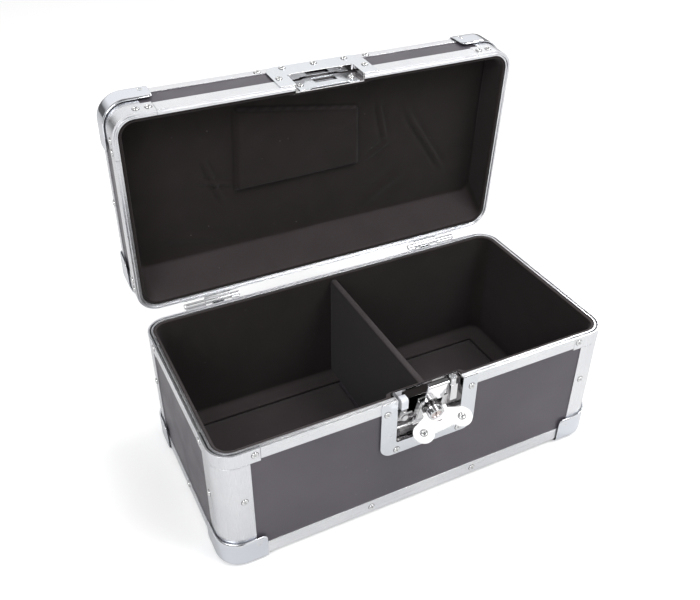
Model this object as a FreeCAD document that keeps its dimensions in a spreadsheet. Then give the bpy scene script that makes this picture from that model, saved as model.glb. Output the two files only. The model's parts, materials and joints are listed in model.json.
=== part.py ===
import FreeCAD, Part
import math
import os
import Sketcher

# Record carrying case: a laminated plywood box with a hinged lid, framed in aluminium sections,
# with a recessed butterfly key latch in front and a recessed carrying handle in the lid.
# Lengths are millimetres. X runs along the case, the front faces -Y, Z is up and the floor is Z zero.
# Body pieces are drawn about the middle of the case and lid pieces closed, from the hinge axis.
# Each piece is then put in place, so that the open case stands centred over the origin.

doc = FreeCAD.newDocument("record_case")
sheet = doc.addObject("Spreadsheet::Sheet", "sizes")

SIZES = [
    # The outside of the case
    ("case_length", 456.0), ("case_depth", 234.0), ("body_height", 152.0), ("lid_height", 53.4),
    ("corner_round", 24.0), ("foot_height", 4.0), ("lid_open_angle", 86.6), ("parting_gap", 0.3),
    ("footprint_shift", 12.16),
    # Panels and the metal wrapped round their edges
    ("panel_thickness", 3.6), ("metal_thickness", 1.1), ("cap_thickness", 1.2), ("post_reach", 35.1),
    ("channel_reach", 30.0), ("panel_reach", 26.0), ("strip_height", 18.5), ("strip_bend", 4.0),
    ("lid_strip_height", 12.8), ("butt_gap", 0.3),
    # Tongue and groove rims
    ("rim_depth", 2.6), ("rim_flange", 13.7), ("rim_lip", 9.0), ("groove_depth", 1.5),
    ("groove_width", 1.8), ("tongue_width", 1.2), ("tongue_height", 1.3), ("lid_rim_flange", 17.0),
    ("rim_corner_reach", 45.7), ("rim_tab_drop", 16.2), ("lid_rim_tab_rise", 19.5),
    # Pressed corner caps
    ("cap_reach", 45.6), ("cap_height", 32.0), ("lid_cap_reach", 50.0),
    ("lid_cap_height", 27.0), ("tab_round", 5.0),
    # Lining, floor pads and divider
    ("lining_thickness", 3.7), ("lining_drop", 0.6), ("floor_pad_thickness", 4.0),
    ("floor_pad_margin", 24.0), ("divider_thickness", 8.0), ("divider_drop", 4.0),
    ("lid_lining_thickness", 11.5), ("lid_lining_slant", 26.0), ("lid_pad_left", 98.0),
    ("lid_pad_right", 53.0), ("lid_pad_far", 124.0), ("lid_pad_near", 30.0), ("lid_pad_thickness", 6.0),
    # Latch dish in the body and keeper dish in the lid
    ("dish_width", 112.0), ("dish_height", 72.5), ("dish_thickness", 1.2), ("window_width", 76.0),
    ("window_height", 57.0), ("dish_recess", 12.5), ("lid_dish_recess", 8.6), ("dish_round", 14.0),
    ("window_round", 3.0),
    ("dish_backing", 2.5), ("lid_dish_height", 49.5), ("lid_window_height", 26.0),
    ("peep_half", 27.0), ("peep_top", 2.2), ("peep_bottom", 14.0),
    # Swinging latch: arm, hook, turning head, key plug and wing
    ("latch_rest_tilt", 14.2), ("pivot_drop", 46.0), ("pivot_inset", 7.6), ("pivot_pin_radius", 1.5),
    ("pivot_clearance", 0.15), ("arm_thickness", 1.5), ("arm_half_width", 16.0), ("arm_front", 6.7),
    ("arm_top_drop", 3.0), ("ear_radius", 3.0), ("head_drop", 18.9),
    ("head_radius", 8.4), ("head_out", 7.1), ("journal_radius", 5.0), ("journal_clearance", 0.25),
    ("cam_radius", 6.0), ("cam_throw", 4.0), ("cam_clearance", 1.3), ("hook_thickness", 1.6),
    ("hook_front", 3.0), ("hook_top_half", 11.2), ("hook_half_width", 14.5),
    ("hook_top", 20.2), ("hook_shoulder_drop", 5.0), ("hook_bottom_drop", 34.5), ("hook_lip_in", 7.1),
    ("hook_lip_thickness", 2.0), ("hook_roll", 1.7), ("running_gap", 0.35), ("washer_thickness", 1.0),
    ("collar_radius", 10.4), ("collar_length", 2.0),
    ("plug_radius", 5.6), ("plug_step_depth", 0.8), ("keyway_width", 1.5), ("keyway_length", 7.0),
    ("keyway_depth", 4.0), ("plug_depth", 6.0), ("wing_rest_fold", 88.0), ("wing_rest_turn", 9.0),
    ("wing_pin_out", 4.4), ("wing_pin_radius", 1.3), ("wing_thickness", 2.0), ("lobe_spacing", 21.5),
    ("lobe_radius", 10.8), ("lobe_drop", 17.2), ("wing_waist", 13.2), ("wing_slot_clearance", 0.6),
    ("wing_hole_low", 12.4), ("wing_lip", 3.4), ("stud_radius", 3.6), ("stud_rise", 1.2),
    ("guide_width", 8.0), ("guide_height", 12.5), ("guide_inner", 23.5), ("guide_depth", 8.8),
    ("coil_radius", 4.4), ("coil_wire", 0.7), ("coil_pitch", 1.7), ("coil_turns", 3.0),
    ("keeper_arch_half", 21.0), ("keeper_arch_slope", 3.0), ("slot_side", 1.5), ("slot_height", 11.2),
    ("leaf_round", 3.0), ("stop_reach", 1.35), ("pin_head_length", 1.2), ("lug_drop", 1.0),
    ("coil_stud_offset", 26.0), ("coil_stud_drop", 32.0), ("coil_stud_radius", 2.6),
    ("coil_stud_head", 3.6), ("coil_stud_length", 7.0), ("guide_drop", 6.5),
    ("guide_lead", 2.0), ("peg_post_inner", 26.0), ("peg_post_width", 8.0), ("peg_post_drop", 28.0),
    ("peg_radius", 4.4), ("peg_height", 8.0), ("peg_inset", 4.7),
    ("rail_low", 12.0), ("rail_drop", 1.5), ("pin_seat", 2.0), ("ear_rise", 2.0),
    ("wing_barrel", 2.5),
    # Keeper in the lid
    ("keeper_gap", 0.3), ("keeper_bar_top", 10.2), ("keeper_reach", 5.0),
    ("keeper_half_width", 34.0), ("keeper_height", 23.5), ("keeper_thickness", 1.2),

    # Butt hinges
    ("hinge_inset", 7.4), ("hinge_width", 63.3), ("hinge_end_inset", 82.5), ("knuckle_radius", 3.2),
    ("leaf_thickness", 1.5), ("leaf_height", 32.0), ("knuckle_short", 9.0), ("knuckle_long", 31.0),
    ("hinge_pin_radius", 1.6), ("pin_clearance", 0.15), ("stop_length", 6.8), ("stop_width", 14.0),
    ("hinge_pin_head", 2.9), ("leaf_slot_clearance", 0.5), ("knuckle_gap", 0.3),
    # Carrying handle in the lid top
    ("handle_length", 172.0), ("handle_width", 122.0), ("tray_length", 136.0), ("tray_width", 90.0),
    ("tray_depth", 13.0), ("tray_round", 10.0), ("handle_flange_round", 12.0), ("bail_length", 118.0),
    ("bail_reach", 46.0), ("bail_radius", 4.0), ("bail_axis_offset", 26.0), ("bail_depth", 6.6),
    ("grip_length", 84.0), ("grip_radius", 5.8), ("bail_corner", 9.0), ("lug_thickness", 4.0),
    ("lug_radius", 5.6), ("handle_pin_radius", 2.0),
    # Rivets, feet and screws
    ("rivet_radius", 3.4), ("rivet_height", 1.3),
    ("strip_rivet_spread", 63.5), ("foot_radius", 11.0), ("foot_taper", 1.5),
    ("foot_inset", 42.0), ("foot_screw_radius", 3.4), ("foot_recess", 2.2),
    ("post_rivet_inset", 26.4), ("post_rivet_rise", 88.0), ("rim_rivet_inset", 40.2),
    ("rim_rivet_drop", 7.0), ("cap_rivet_inset", 36.7), ("cap_rivet_rise", 24.0),
    ("strip_rivet_rise", 10.0), ("lid_rim_rivet_rise", 9.0), ("rim_rivet_inner_inset", 28.0),
    ("lid_cap_rivet_inset", 42.0), ("lid_cap_rivet_drop", 8.0), ("lid_strip_rivet_drop", 8.3),
    ("dish_rivet_wide", 49.3), ("dish_rivet_drop", 14.0), ("dish_rivet_low_wide", 37.1),
    ("dish_rivet_low", 66.8), ("lid_dish_rivet_rise", 20.1), ("lid_dish_rivet_spread", 36.0),
    ("lid_dish_rivet_high", 43.5), ("keeper_rivet_wide", 29.2), ("keeper_rivet_rise", 12.0),
    ("leaf_rivet_rise", 23.5), ("handle_rivet_x", 77.0), ("handle_rivet_y", 52.0),
    ("cloth_gap", 0.1), ("pad_slit", 1.2), ("divider_round", 2.4), ("lid_pad_round", 3.0),
    ("screw_head_height", 1.8),
    # How far a cutting outline runs past what it cuts
    ("overrun", 5.0),
]
# Proportions inside a piece that do not change with its size
SHARES = {
    "rivet_top_share": 0.62, "bend_bevel_share": 0.58, "stud_top_share": 0.7, "cap_corner_share": 0.4,
    "lobe_side_share": 0.5, "lobe_shoulder_share": 0.86, "lobe_waist_share": 0.42, "lip_side_share": 0.95,
    "ear_corner_share": 0.4, "screw_top_share": 0.8,
}
LEAF_RIVET_SHARES = (0.17, 0.5, 0.83)
HEAD_SIDES = 8
FOOT_SIDES = 16
COIL_SIDES = 12
BAIL_SIDES = 12
HALF_STEP_SHARE = 0.5
CLOSE = 1e-3

for row, (alias, number) in enumerate(SIZES, start=1):
    sheet.set("A%d" % row, alias)
    sheet.set("B%d" % row, repr(number))
    sheet.setAlias("B%d" % row, alias)
doc.recompute()


class Size:
    """A number together with the sheet formula it comes from."""

    def __init__(self, number, formula):
        self.number = number
        self.formula = formula

    def joined(self, other, sign, number):
        text = other.formula if isinstance(other, Size) else repr(other)
        return Size(number, "(%s %s %s)" % (self.formula, sign, text))

    def __add__(self, other):
        return self.joined(other, "+", self.number + plain(other))

    def __sub__(self, other):
        return self.joined(other, "-", self.number - plain(other))

    def __mul__(self, other):
        return self.joined(other, "*", self.number * plain(other))

    def __truediv__(self, other):
        return self.joined(other, "/", self.number / plain(other))

    def __neg__(self):
        return Size(-self.number, "(0 - %s)" % self.formula)


def plain(value):
    return value.number if isinstance(value, Size) else float(value)


def size(alias):
    return Size(float(sheet.get(alias)), "sizes." + alias)


def drive(thing, name, value):
    """Ties one property to the sheet."""
    if isinstance(value, Size):
        thing.setExpression(name, value.formula)
    else:
        setattr(thing, name, value)


SIGN = {"XY_Plane": 1, "XZ_Plane": -1, "YZ_Plane": 1}
NODES = []
HOME = "placement(vector(0; 0 - sizes.footprint_shift; 0); rotationx(0))"


def new_body(label, place=HOME):
    body = doc.addObject("PartDesign::Body", label)
    body.Label = label
    body.setExpression("Placement", place)
    NODES.append(body)
    return body


def plane(body, role):
    return next(item for item in body.Origin.OriginFeatures if item.Role == role)


def new_sketch(body, name, role, offset):
    sketch = body.newObject("Sketcher::SketchObject", name)
    sketch.AttachmentSupport = (plane(body, role), [""])
    sketch.MapMode = "FlatFace"
    if isinstance(offset, Size):
        sketch.setExpression("AttachmentOffset.Base.z", offset.formula)
    return sketch


def pin_point(sketch, geometry, end, point):
    """Holds one point of a sketch at two sizes measured from the sketch origin."""
    for kind, axis, value in (("DistanceX", -2, point[0]), ("DistanceY", -1, point[1])):
        if isinstance(value, Size):
            held = Sketcher.Constraint(kind, -1, 1, geometry, end, value.number)
            number = sketch.addConstraint(held)
            sketch.setExpression("Constraints[%d]" % number, value.formula)
        else:
            sketch.addConstraint(Sketcher.Constraint("PointOnObject", geometry, end, axis))


def add_polygon(sketch, points):
    first = sketch.GeometryCount
    count = len(points)
    for number, point in enumerate(points):
        after = points[(number + 1) % count]
        start = FreeCAD.Vector(plain(point[0]), plain(point[1]), 0)
        finish = FreeCAD.Vector(plain(after[0]), plain(after[1]), 0)
        sketch.addGeometry(Part.LineSegment(start, finish), False)
    for number in range(count):
        here = first + number
        after = first + (number + 1) % count
        sketch.addConstraint(Sketcher.Constraint("Coincident", here, 2, after, 1))
    for number, point in enumerate(points):
        pin_point(sketch, first + number, 1, point)


def add_circle(sketch, centre, radius):
    here = sketch.GeometryCount
    middle = FreeCAD.Vector(plain(centre[0]), plain(centre[1]), 0)
    sketch.addGeometry(Part.Circle(middle, FreeCAD.Vector(0, 0, 1), plain(radius)), False)
    pin_point(sketch, here, 3, centre)
    number = sketch.addConstraint(Sketcher.Constraint("Radius", here, radius.number))
    sketch.setExpression("Constraints[%d]" % number, radius.formula)


def draw(sketch, outline):
    """An outline is a polygon, or a circle given as its centre and radius."""
    if len(outline) == 2:
        add_circle(sketch, outline[0], outline[1])
    else:
        add_polygon(sketch, outline)


def finished(body, feature):
    body.Tip = feature
    doc.recompute()
    return feature


def slab(body, name, role, outlines, low, high):
    """Adds the outlines as a solid between two levels along the axis square to the plane."""
    offset = low if SIGN[role] > 0 else (-high if isinstance(high, Size) else high)
    sketch = new_sketch(body, name + "_outline", role, offset)
    for outline in outlines:
        draw(sketch, outline)
    pad = body.newObject("PartDesign::Pad", name)
    pad.Profile = sketch
    span = high - low if isinstance(high, Size) else -low
    drive(pad, "Length", span)
    return finished(body, pad)


def cut(body, name, role, outlines, low, high):
    """Takes the outlines away between two levels and checks that metal went."""
    before = body.Shape.Volume
    offset = high if SIGN[role] > 0 else (-low if isinstance(low, Size) else low)
    sketch = new_sketch(body, name + "_outline", role, offset)
    for outline in outlines:
        draw(sketch, outline)
    pocket = body.newObject("PartDesign::Pocket", name)
    pocket.Profile = sketch
    span = high - low if isinstance(high, Size) else -low
    drive(pocket, "Length", span)
    finished(body, pocket)
    if not body.Shape.Volume < before:
        raise ValueError(name + " cut nothing")
    return pocket


def round_edges(body, name, radius, chosen):
    names = ["Edge%d" % (n + 1) for n, edge in enumerate(body.Tip.Shape.Edges) if chosen(edge)]
    if not names:
        raise ValueError(name + " found no edge")
    rounded = body.Tip
    fillet = body.newObject("PartDesign::Fillet", name)
    fillet.Base = (rounded, names)
    drive(fillet, "Radius", radius)
    return finished(body, fillet)


def bevel_edges(body, name, width, chosen):
    names = ["Edge%d" % (n + 1) for n, edge in enumerate(body.Tip.Shape.Edges) if chosen(edge)]
    if not names:
        raise ValueError(name + " found no edge")
    sharp = body.Tip
    bevel = body.newObject("PartDesign::Chamfer", name)
    bevel.Base = (sharp, names)
    drive(bevel, "Size", width)
    return finished(body, bevel)


def mirrored(body, name, role):
    """Repeats the whole body on the other side of one of its origin planes."""
    mirror = body.newObject("PartDesign::Mirrored", name)
    mirror.TransformMode = "Whole shape"
    mirror.MirrorPlane = (plane(body, role), [""])
    finished(body, mirror)
    return mirror


def along(axis):
    """Picks straight edges that run along one axis."""
    def chosen(edge):
        if edge.Curve.TypeId != "Part::GeomLine":
            return False
        return edge.Curve.Direction.cross(axis).Length < CLOSE
    return chosen


def near(edge, x=None, y=None, z=None):
    middle = edge.CenterOfMass
    wanted = ((x, middle.x), (y, middle.y), (z, middle.z))
    return all(goal is None or abs(plain(goal) - value) < CLOSE for goal, value in wanted)


def box_outline(left, right, low, high):
    return [(left, low), (right, low), (right, high), (left, high)]


def ring_turns(sides):
    return [2 * math.pi * (number + HALF_STEP_SHARE) / sides for number in range(sides)]


def ring_outline(reach, centre=(0, 0)):
    """Small round outline drawn with a few flat sides."""
    return [(reach * math.cos(turn) + centre[0], reach * math.sin(turn) + centre[1])
            for turn in ring_turns(HEAD_SIDES)]


def frustum(low_radius, high_radius, height, sides=HEAD_SIDES):
    """Round head drawn with a few flat sides."""
    low, high = [[FreeCAD.Vector(reach * math.cos(turn), reach * math.sin(turn), level)
                  for turn in ring_turns(sides)]
                 for level, reach in ((0, low_radius), (height, high_radius))]
    faces = [Part.Face(Part.makePolygon(ring + ring[:1])) for ring in (low, high)]
    for number in range(sides):
        after = (number + 1) % sides
        corners = [low[number], low[after], high[after], high[number], low[number]]
        faces.append(Part.Face(Part.makePolygon(corners)))
    return Part.Solid(Part.Shell(faces))


UP = FreeCAD.Vector(0, 0, 1)
ALONG = FreeCAD.Vector(1, 0, 0)
ACROSS = FreeCAD.Vector(0, 1, 0)

half_x = size("case_length") / 2
half_y = size("case_depth") / 2
base = size("foot_height")
top = size("foot_height") + size("body_height")
metal = size("metal_thickness")
panel = size("panel_thickness")
inner_face = metal + panel
rim_width = inner_face + metal
lid_top = size("lid_height")
radius = size("corner_round")
gap = size("parting_gap")
butt = size("butt_gap")
over = size("overrun")

# The hinge line is the origin of every lid piece; the closed lid reaches from it to the front.
hinge_y = half_y + size("hinge_inset")
lid_back = -size("hinge_inset")
lid_front = lid_back - size("case_depth")
lid_middle = lid_back - half_y
HINGE = HOME + " * placement(vector(0; %s; %s); rotationx(0))" % (hinge_y.formula, top.formula)
OPEN = HINGE + " * placement(vector(0; 0; 0); rotationx(0 - sizes.lid_open_angle))"


# Panels: laminated plywood boards whose edges stand inside the metal sections.
floor_low = base + metal
floor_high = base + inner_face
wall_high = top - size("rim_depth")
board_x = half_x - size("panel_reach")
board_y = half_y - size("panel_reach")
dish_half = size("window_width") / 2 + size("dish_thickness") + butt
dish_floor = top - size("window_height") - size("dish_thickness") - butt

front_panel = new_body("front_panel")
slab(front_panel, "front_board", "XZ_Plane", [box_outline(-board_x, board_x, floor_high, wall_high)],
     inner_face - half_y - panel, inner_face - half_y)
cut(front_panel, "dish_opening", "XZ_Plane", [box_outline(-dish_half, dish_half, dish_floor, top)],
    -half_y, over + inner_face - half_y)

back_panel = new_body("back_panel")
slab(back_panel, "back_board", "XZ_Plane", [box_outline(-board_x, board_x, floor_high, wall_high)],
     half_y - inner_face, half_y - metal)

end_panels = new_body("end_panels")
slab(end_panels, "end_board", "YZ_Plane", [box_outline(-board_y, board_y, floor_high, wall_high)],
     half_x - inner_face, half_x - metal)
mirrored(end_panels, "other_end", "YZ_Plane")

base_panel = new_body("base_panel")
slab(base_panel, "base_board", "XY_Plane",
     [box_outline(metal - half_x, half_x - metal, metal - half_y, half_y - metal)], floor_low, floor_high)
round_edges(base_panel, "board_corners", radius - metal, along(UP))
bevel_edges(base_panel, "board_edge", size("strip_bend") - metal,
            lambda edge: near(edge, z=floor_low))


def corner_outline(face_y, inward, inset, reach):
    """L shaped band one metal thickness wide, at some inset from the two outer faces."""
    near_x = half_x - inset if inset else half_x
    near_y = face_y + inset * inward if inset else face_y
    return [(near_x, near_y), (half_x - reach, near_y), (half_x - reach, near_y + metal * inward),
            (near_x - metal, near_y + metal * inward), (near_x - metal, face_y + reach * inward),
            (near_x, face_y + reach * inward)]


def corner_posts(label, front, back, low, high, place=HOME):
    """Double skinned corner sections that take the edges of two boards between their skins.

    The outer skin is bent round; the inner one is hidden by the lining and folded with a flat.
    """
    body = new_body(label, place)
    web = size("panel_reach") - butt
    for end, face_y, inward in (("front", front, 1), ("back", back, -1)):
        for skin, inset, reach in (("inner", inner_face, size("channel_reach")),
                                   ("outer", 0, size("post_reach"))):
            slab(body, end + "_" + skin, "XY_Plane", [corner_outline(face_y, inward, inset, reach)],
                 low, high)
            near_x = half_x - inset if inset else half_x
            near_y = face_y + inset * inward if inset else face_y
            inside_x = near_x - metal
            inside_y = near_y + metal * inward
            bend = radius - inset if inset else radius
            press, share = (round_edges, 1) if skin == "outer" else (bevel_edges, SHARES["bend_bevel_share"])
            press(body, end + "_" + skin + "_inside", (bend - metal) * share,
                  lambda edge: along(UP)(edge) and near(edge, x=inside_x, y=inside_y))
            press(body, end + "_" + skin + "_outside", bend * share,
                  lambda edge: along(UP)(edge) and near(edge, x=near_x, y=near_y))
        side_web = box_outline(half_x - inner_face, half_x - metal, face_y + (web - metal) * inward,
                               face_y + web * inward)
        slab(body, end + "_side_web", "XY_Plane", [side_web], low, high)
        face_web = box_outline(half_x - web, half_x - web + metal, face_y + metal * inward,
                               face_y + inner_face * inward)
        slab(body, end + "_face_web", "XY_Plane", [face_web], low, high)
    mirrored(body, "left_posts", "YZ_Plane")
    return body


corner_posts("corner_posts", -half_y, half_y, floor_high + butt, top - size("rim_tab_drop") - butt)


def angle_outline(face, inward, level, upward, height):
    """Section of the edge angle: one leg on the wall, one on the board, outer corner at the edge."""
    leg = face + height * inward
    skin = face + metal * inward
    return [(face, level), (leg, level), (leg, level + metal * upward), (skin, level + metal * upward),
            (skin, level + height * upward), (face, level + height * upward)]


def edge_angles(label, face_x, front, back, level, upward, height, place=HOME):
    """Four straight angles round one edge of the box, ending where the corners begin."""
    body = new_body(label, place)
    reach = size("post_reach") + butt
    x_end = face_x - reach
    bend = size("strip_bend")
    for name, face, inward in (("front_angle", front, 1), ("back_angle", back, -1)):
        slab(body, name, "YZ_Plane", [angle_outline(face, inward, level, upward, height)], -x_end, x_end)
    for name, face, inward in (("left_angle", -face_x, 1), ("right_angle", face_x, -1)):
        slab(body, name, "XZ_Plane", [angle_outline(face, inward, level, upward, height)],
             front + reach, back - reach)
    skin_level = level + metal * upward
    round_edges(body, "outer_bend", bend,
                lambda edge: near(edge, z=level) and not along(UP)(edge) and
                (near(edge, y=front) or near(edge, y=back) or near(edge, x=face_x) or near(edge, x=-face_x)))
    round_edges(body, "inner_bend", bend - metal,
                lambda edge: near(edge, z=skin_level) and
                (near(edge, y=front + metal) or near(edge, y=back - metal) or
                 near(edge, x=face_x - metal) or near(edge, x=metal - face_x)))
    return body


edge_angles("base_edge_angles", half_x, -half_y, half_y, base, 1, size("strip_height"))


def rim_outline(face, inward, level, upward, flange, tongued):
    """Section of a rim; the body rim is grooved and the lid rim carries the tongue."""
    start = level
    middle = rim_width / 2
    outer_leg = start + flange * upward
    seat = start + size("rim_depth") * upward
    inner_leg = start + size("rim_lip") * upward
    outer = [(face, start), (face, outer_leg), (face + metal * inward, outer_leg),
             (face + metal * inward, seat), (face + inner_face * inward, seat),
             (face + inner_face * inward, inner_leg), (face + rim_width * inward, inner_leg),
             (face + rim_width * inward, start)]
    if tongued:
        half = size("tongue_width") / 2
        depth = start - size("tongue_height") * upward
    else:
        half = size("groove_width") / 2
        depth = start + size("groove_depth") * upward
    channel = [(face + (middle + half) * inward, start), (face + (middle + half) * inward, depth),
               (face + (middle - half) * inward, depth), (face + (middle - half) * inward, start)]
    return outer + channel


def straight_rims(names, front, back, level, upward, flange, tongued, place=HOME):
    """Front rim in two lengths either side of the dish, one back rim and a pair of end rims."""
    reach = size("rim_corner_reach") + butt
    x_end = half_x - reach
    window = size("window_width") / 2 + size("dish_thickness") + butt
    front_rim = new_body(names[0], place)
    section = rim_outline(front, 1, level, upward, flange, tongued)
    slab(front_rim, "right_length", "YZ_Plane", [section], window, x_end)
    mirrored(front_rim, "left_length", "YZ_Plane")
    back_rim = new_body(names[1], place)
    section = rim_outline(back, -1, level, upward, flange, tongued)
    slab(back_rim, "back_length", "YZ_Plane", [section], -x_end, x_end)
    end_rims = new_body(names[2], place)
    section = rim_outline(half_x, -1, level, upward, flange, tongued)
    slab(end_rims, "right_end_length", "XZ_Plane", [section], front + reach, back - reach)
    mirrored(end_rims, "left_end_length", "YZ_Plane")


straight_rims(("body_rim_front", "body_rim_back", "body_rim_ends"), -half_y, half_y, top, -1,
              size("rim_flange"), False)


def rim_corners(label, front, back, level, upward, flange, tongued, place=HOME):
    """Four corner pieces: two short straights joined by a quarter turn."""
    body = new_body(label, place)
    reach = size("rim_corner_reach")
    for end, face, inward in (("front", front, 1), ("back", back, -1)):
        slab(body, end + "_straight", "YZ_Plane", [rim_outline(face, inward, level, upward, flange, tongued)],
             half_x - reach, half_x - radius)
        low, high = (face + radius, face + reach) if inward > 0 else (face - reach, face - radius)
        slab(body, end + "_side_straight", "XZ_Plane",
             [rim_outline(half_x, -1, level, upward, flange, tongued)], low, high)
        sketch = new_sketch(body, end + "_turn_outline", "XZ_Plane", -(face + radius * inward))
        draw(sketch, rim_outline(half_x, -1, level, upward, flange, tongued))
        line = sketch.GeometryCount
        axis_x = half_x - radius
        sketch.addGeometry(Part.LineSegment(FreeCAD.Vector(axis_x.number, plain(level), 0),
                                            FreeCAD.Vector(axis_x.number, plain(level + over), 0)), True)
        pin_point(sketch, line, 1, (axis_x, level))
        pin_point(sketch, line, 2, (axis_x, level + over))
        turn = body.newObject("PartDesign::Revolution", end + "_turn")
        turn.Profile = sketch
        turn.ReferenceAxis = (sketch, ["Axis0"])
        turn.Angle = 90
        turn.Reversed = inward > 0
        finished(body, turn)
    mirrored(body, "left_corners", "YZ_Plane")
    return body


rim_corners("body_rim_corners", -half_y, half_y, top, -1, size("rim_tab_drop"), False)


# Lid boards and metal, drawn closed with the hinge line as origin.
lid_low = gap
lid_wall_low = gap + size("rim_depth")
lid_wall_high = lid_top - inner_face
lid_board_front = lid_front + size("panel_reach")
lid_board_back = lid_back - size("panel_reach")
lid_dish_top = size("lid_window_height") + size("dish_thickness") + butt

lid_front_panel = new_body("lid_front_panel", OPEN)
slab(lid_front_panel, "lid_front_board", "XZ_Plane",
     [box_outline(-board_x, board_x, lid_wall_low, lid_wall_high)], lid_front + metal, lid_front + inner_face)
cut(lid_front_panel, "lid_dish_opening", "XZ_Plane", [box_outline(-dish_half, dish_half, 0, lid_dish_top)],
    lid_front, lid_front + inner_face + over)

lid_back_panel = new_body("lid_back_panel", OPEN)
slab(lid_back_panel, "lid_back_board", "XZ_Plane",
     [box_outline(-board_x, board_x, lid_wall_low, lid_wall_high)], lid_back - inner_face, lid_back - metal)

lid_end_panels = new_body("lid_end_panels", OPEN)
slab(lid_end_panels, "lid_end_board", "YZ_Plane",
     [box_outline(lid_board_front, lid_board_back, lid_wall_low, lid_wall_high)],
     half_x - inner_face, half_x - metal)
mirrored(lid_end_panels, "other_lid_end", "YZ_Plane")

tray_x = size("tray_length") / 2
tray_y = size("tray_width") / 2
handle_metal = size("dish_thickness")
cutout_x = tray_x + handle_metal + butt
cutout_y = tray_y + handle_metal + butt
lid_top_panel = new_body("lid_top_panel", OPEN)
slab(lid_top_panel, "lid_top_board", "XY_Plane",
     [box_outline(metal - half_x, half_x - metal, lid_front + metal, lid_back - metal)],
     lid_top - inner_face, lid_top - metal)
round_edges(lid_top_panel, "lid_board_corners", radius - metal, along(UP))
bevel_edges(lid_top_panel, "lid_board_edge", size("strip_bend") - metal,
            lambda edge: near(edge, z=lid_top - metal))
cut(lid_top_panel, "handle_opening", "XY_Plane",
    [box_outline(-cutout_x, cutout_x, lid_middle - cutout_y, lid_middle + cutout_y)],
    lid_top - inner_face - over, lid_top)


corner_posts("lid_corner_posts", lid_front, lid_back, gap + size("lid_rim_tab_rise") + butt,
             lid_wall_high - butt, OPEN)
edge_angles("lid_edge_angles", half_x, lid_front, lid_back, lid_top, -1, size("lid_strip_height"), OPEN)
straight_rims(("lid_rim_front", "lid_rim_back", "lid_rim_ends"), lid_front, lid_back, lid_low, 1,
              size("lid_rim_flange"), True, OPEN)
rim_corners("lid_rim_corners", lid_front, lid_back, lid_low, 1, size("lid_rim_tab_rise"), True, OPEN)


def rounded_block(low_x, high_x, low_y, high_y, low_z, high_z, upright, bend, bent_level):
    """Box with round upright corners and a bent edge, pressed as a bevel, round one level."""
    block = Part.makeBox(high_x - low_x, high_y - low_y, high_z - low_z, FreeCAD.Vector(low_x, low_y, low_z))
    block = block.makeFillet(upright, [edge for edge in block.Edges if along(UP)(edge)])
    return block.makeChamfer(bend * SHARES["bend_bevel_share"],
                             [edge for edge in block.Edges if near(edge, z=bent_level)])


def add_shape(label, shape, place=HOME):
    """A piece whose form is made in code from the sheet's sizes."""
    item = doc.addObject("Part::Feature", label)
    item.Label = label
    item.Shape = shape
    item.setExpression("Placement", place)
    NODES.append(item)
    return item


def corner_caps(front, back, level, upward, height, reach, bend, tab):
    """Pressed caps over four corners of a box edge, rounded where they end on the walls."""
    skin = plain(size("cap_thickness"))
    x_face = plain(half_x)
    front, back, level = plain(front), plain(back), plain(level)
    height, reach, bend, tab = plain(height), plain(reach), plain(bend), plain(tab)
    far = level + upward * (height + plain(over))
    low, high = sorted((level, far))
    inner = rounded_block(-x_face, x_face, front, back, low, high, plain(radius), bend, level)
    outside = level - upward * skin
    low, high = sorted((outside, far))
    outer = rounded_block(-x_face - skin, x_face + skin, front - skin, back + skin, low, high,
                          plain(radius) + skin, bend + skin, outside)
    shell = outer.cut(inner)
    edge = level + upward * height
    pieces = []
    for side in (-1, 1):
        for face, inward in ((front, 1), (back, -1)):
            corner = FreeCAD.Vector(side * (x_face + skin), face - inward * skin, 0)
            span = reach + skin

            def spot(a, b, z):
                return FreeCAD.Vector(corner.x - side * a, corner.y + inward * b, z)

            cut_back = span * SHARES["cap_corner_share"]
            plan = [spot(0, 0, outside), spot(span, 0, outside), spot(span, cut_back, outside),
                    spot(cut_back, span, outside), spot(0, span, outside), spot(0, 0, outside)]
            region = Part.Face(Part.makePolygon(plan)).extrude(FreeCAD.Vector(0, 0, edge - outside))
            ends = (spot(span, cut_back / 2, edge), spot(cut_back / 2, span, edge))
            tab_edges = [item for item in region.Edges
                         if any((item.CenterOfMass - end).Length < CLOSE for end in ends)]
            pieces.append(shell.common(region.makeFillet(tab, tab_edges)))
    return Part.makeCompound([solid for piece in pieces for solid in piece.Solids])


add_shape("base_corner_caps", corner_caps(-half_y, half_y, base, 1, size("cap_height"), size("cap_reach"),
                                          size("strip_bend"), size("tab_round")))
add_shape("lid_corner_caps", corner_caps(lid_front, lid_back, lid_top, -1, size("lid_cap_height"),
                                         size("lid_cap_reach"), size("strip_bend"), size("tab_round")), OPEN)


# Latch dish pressed into the body front, and the keeper dish in the lid front.
dish_metal = size("dish_thickness")
window_x = size("window_width") / 2
recess = size("dish_recess")
lid_recess = size("lid_dish_recess")


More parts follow.
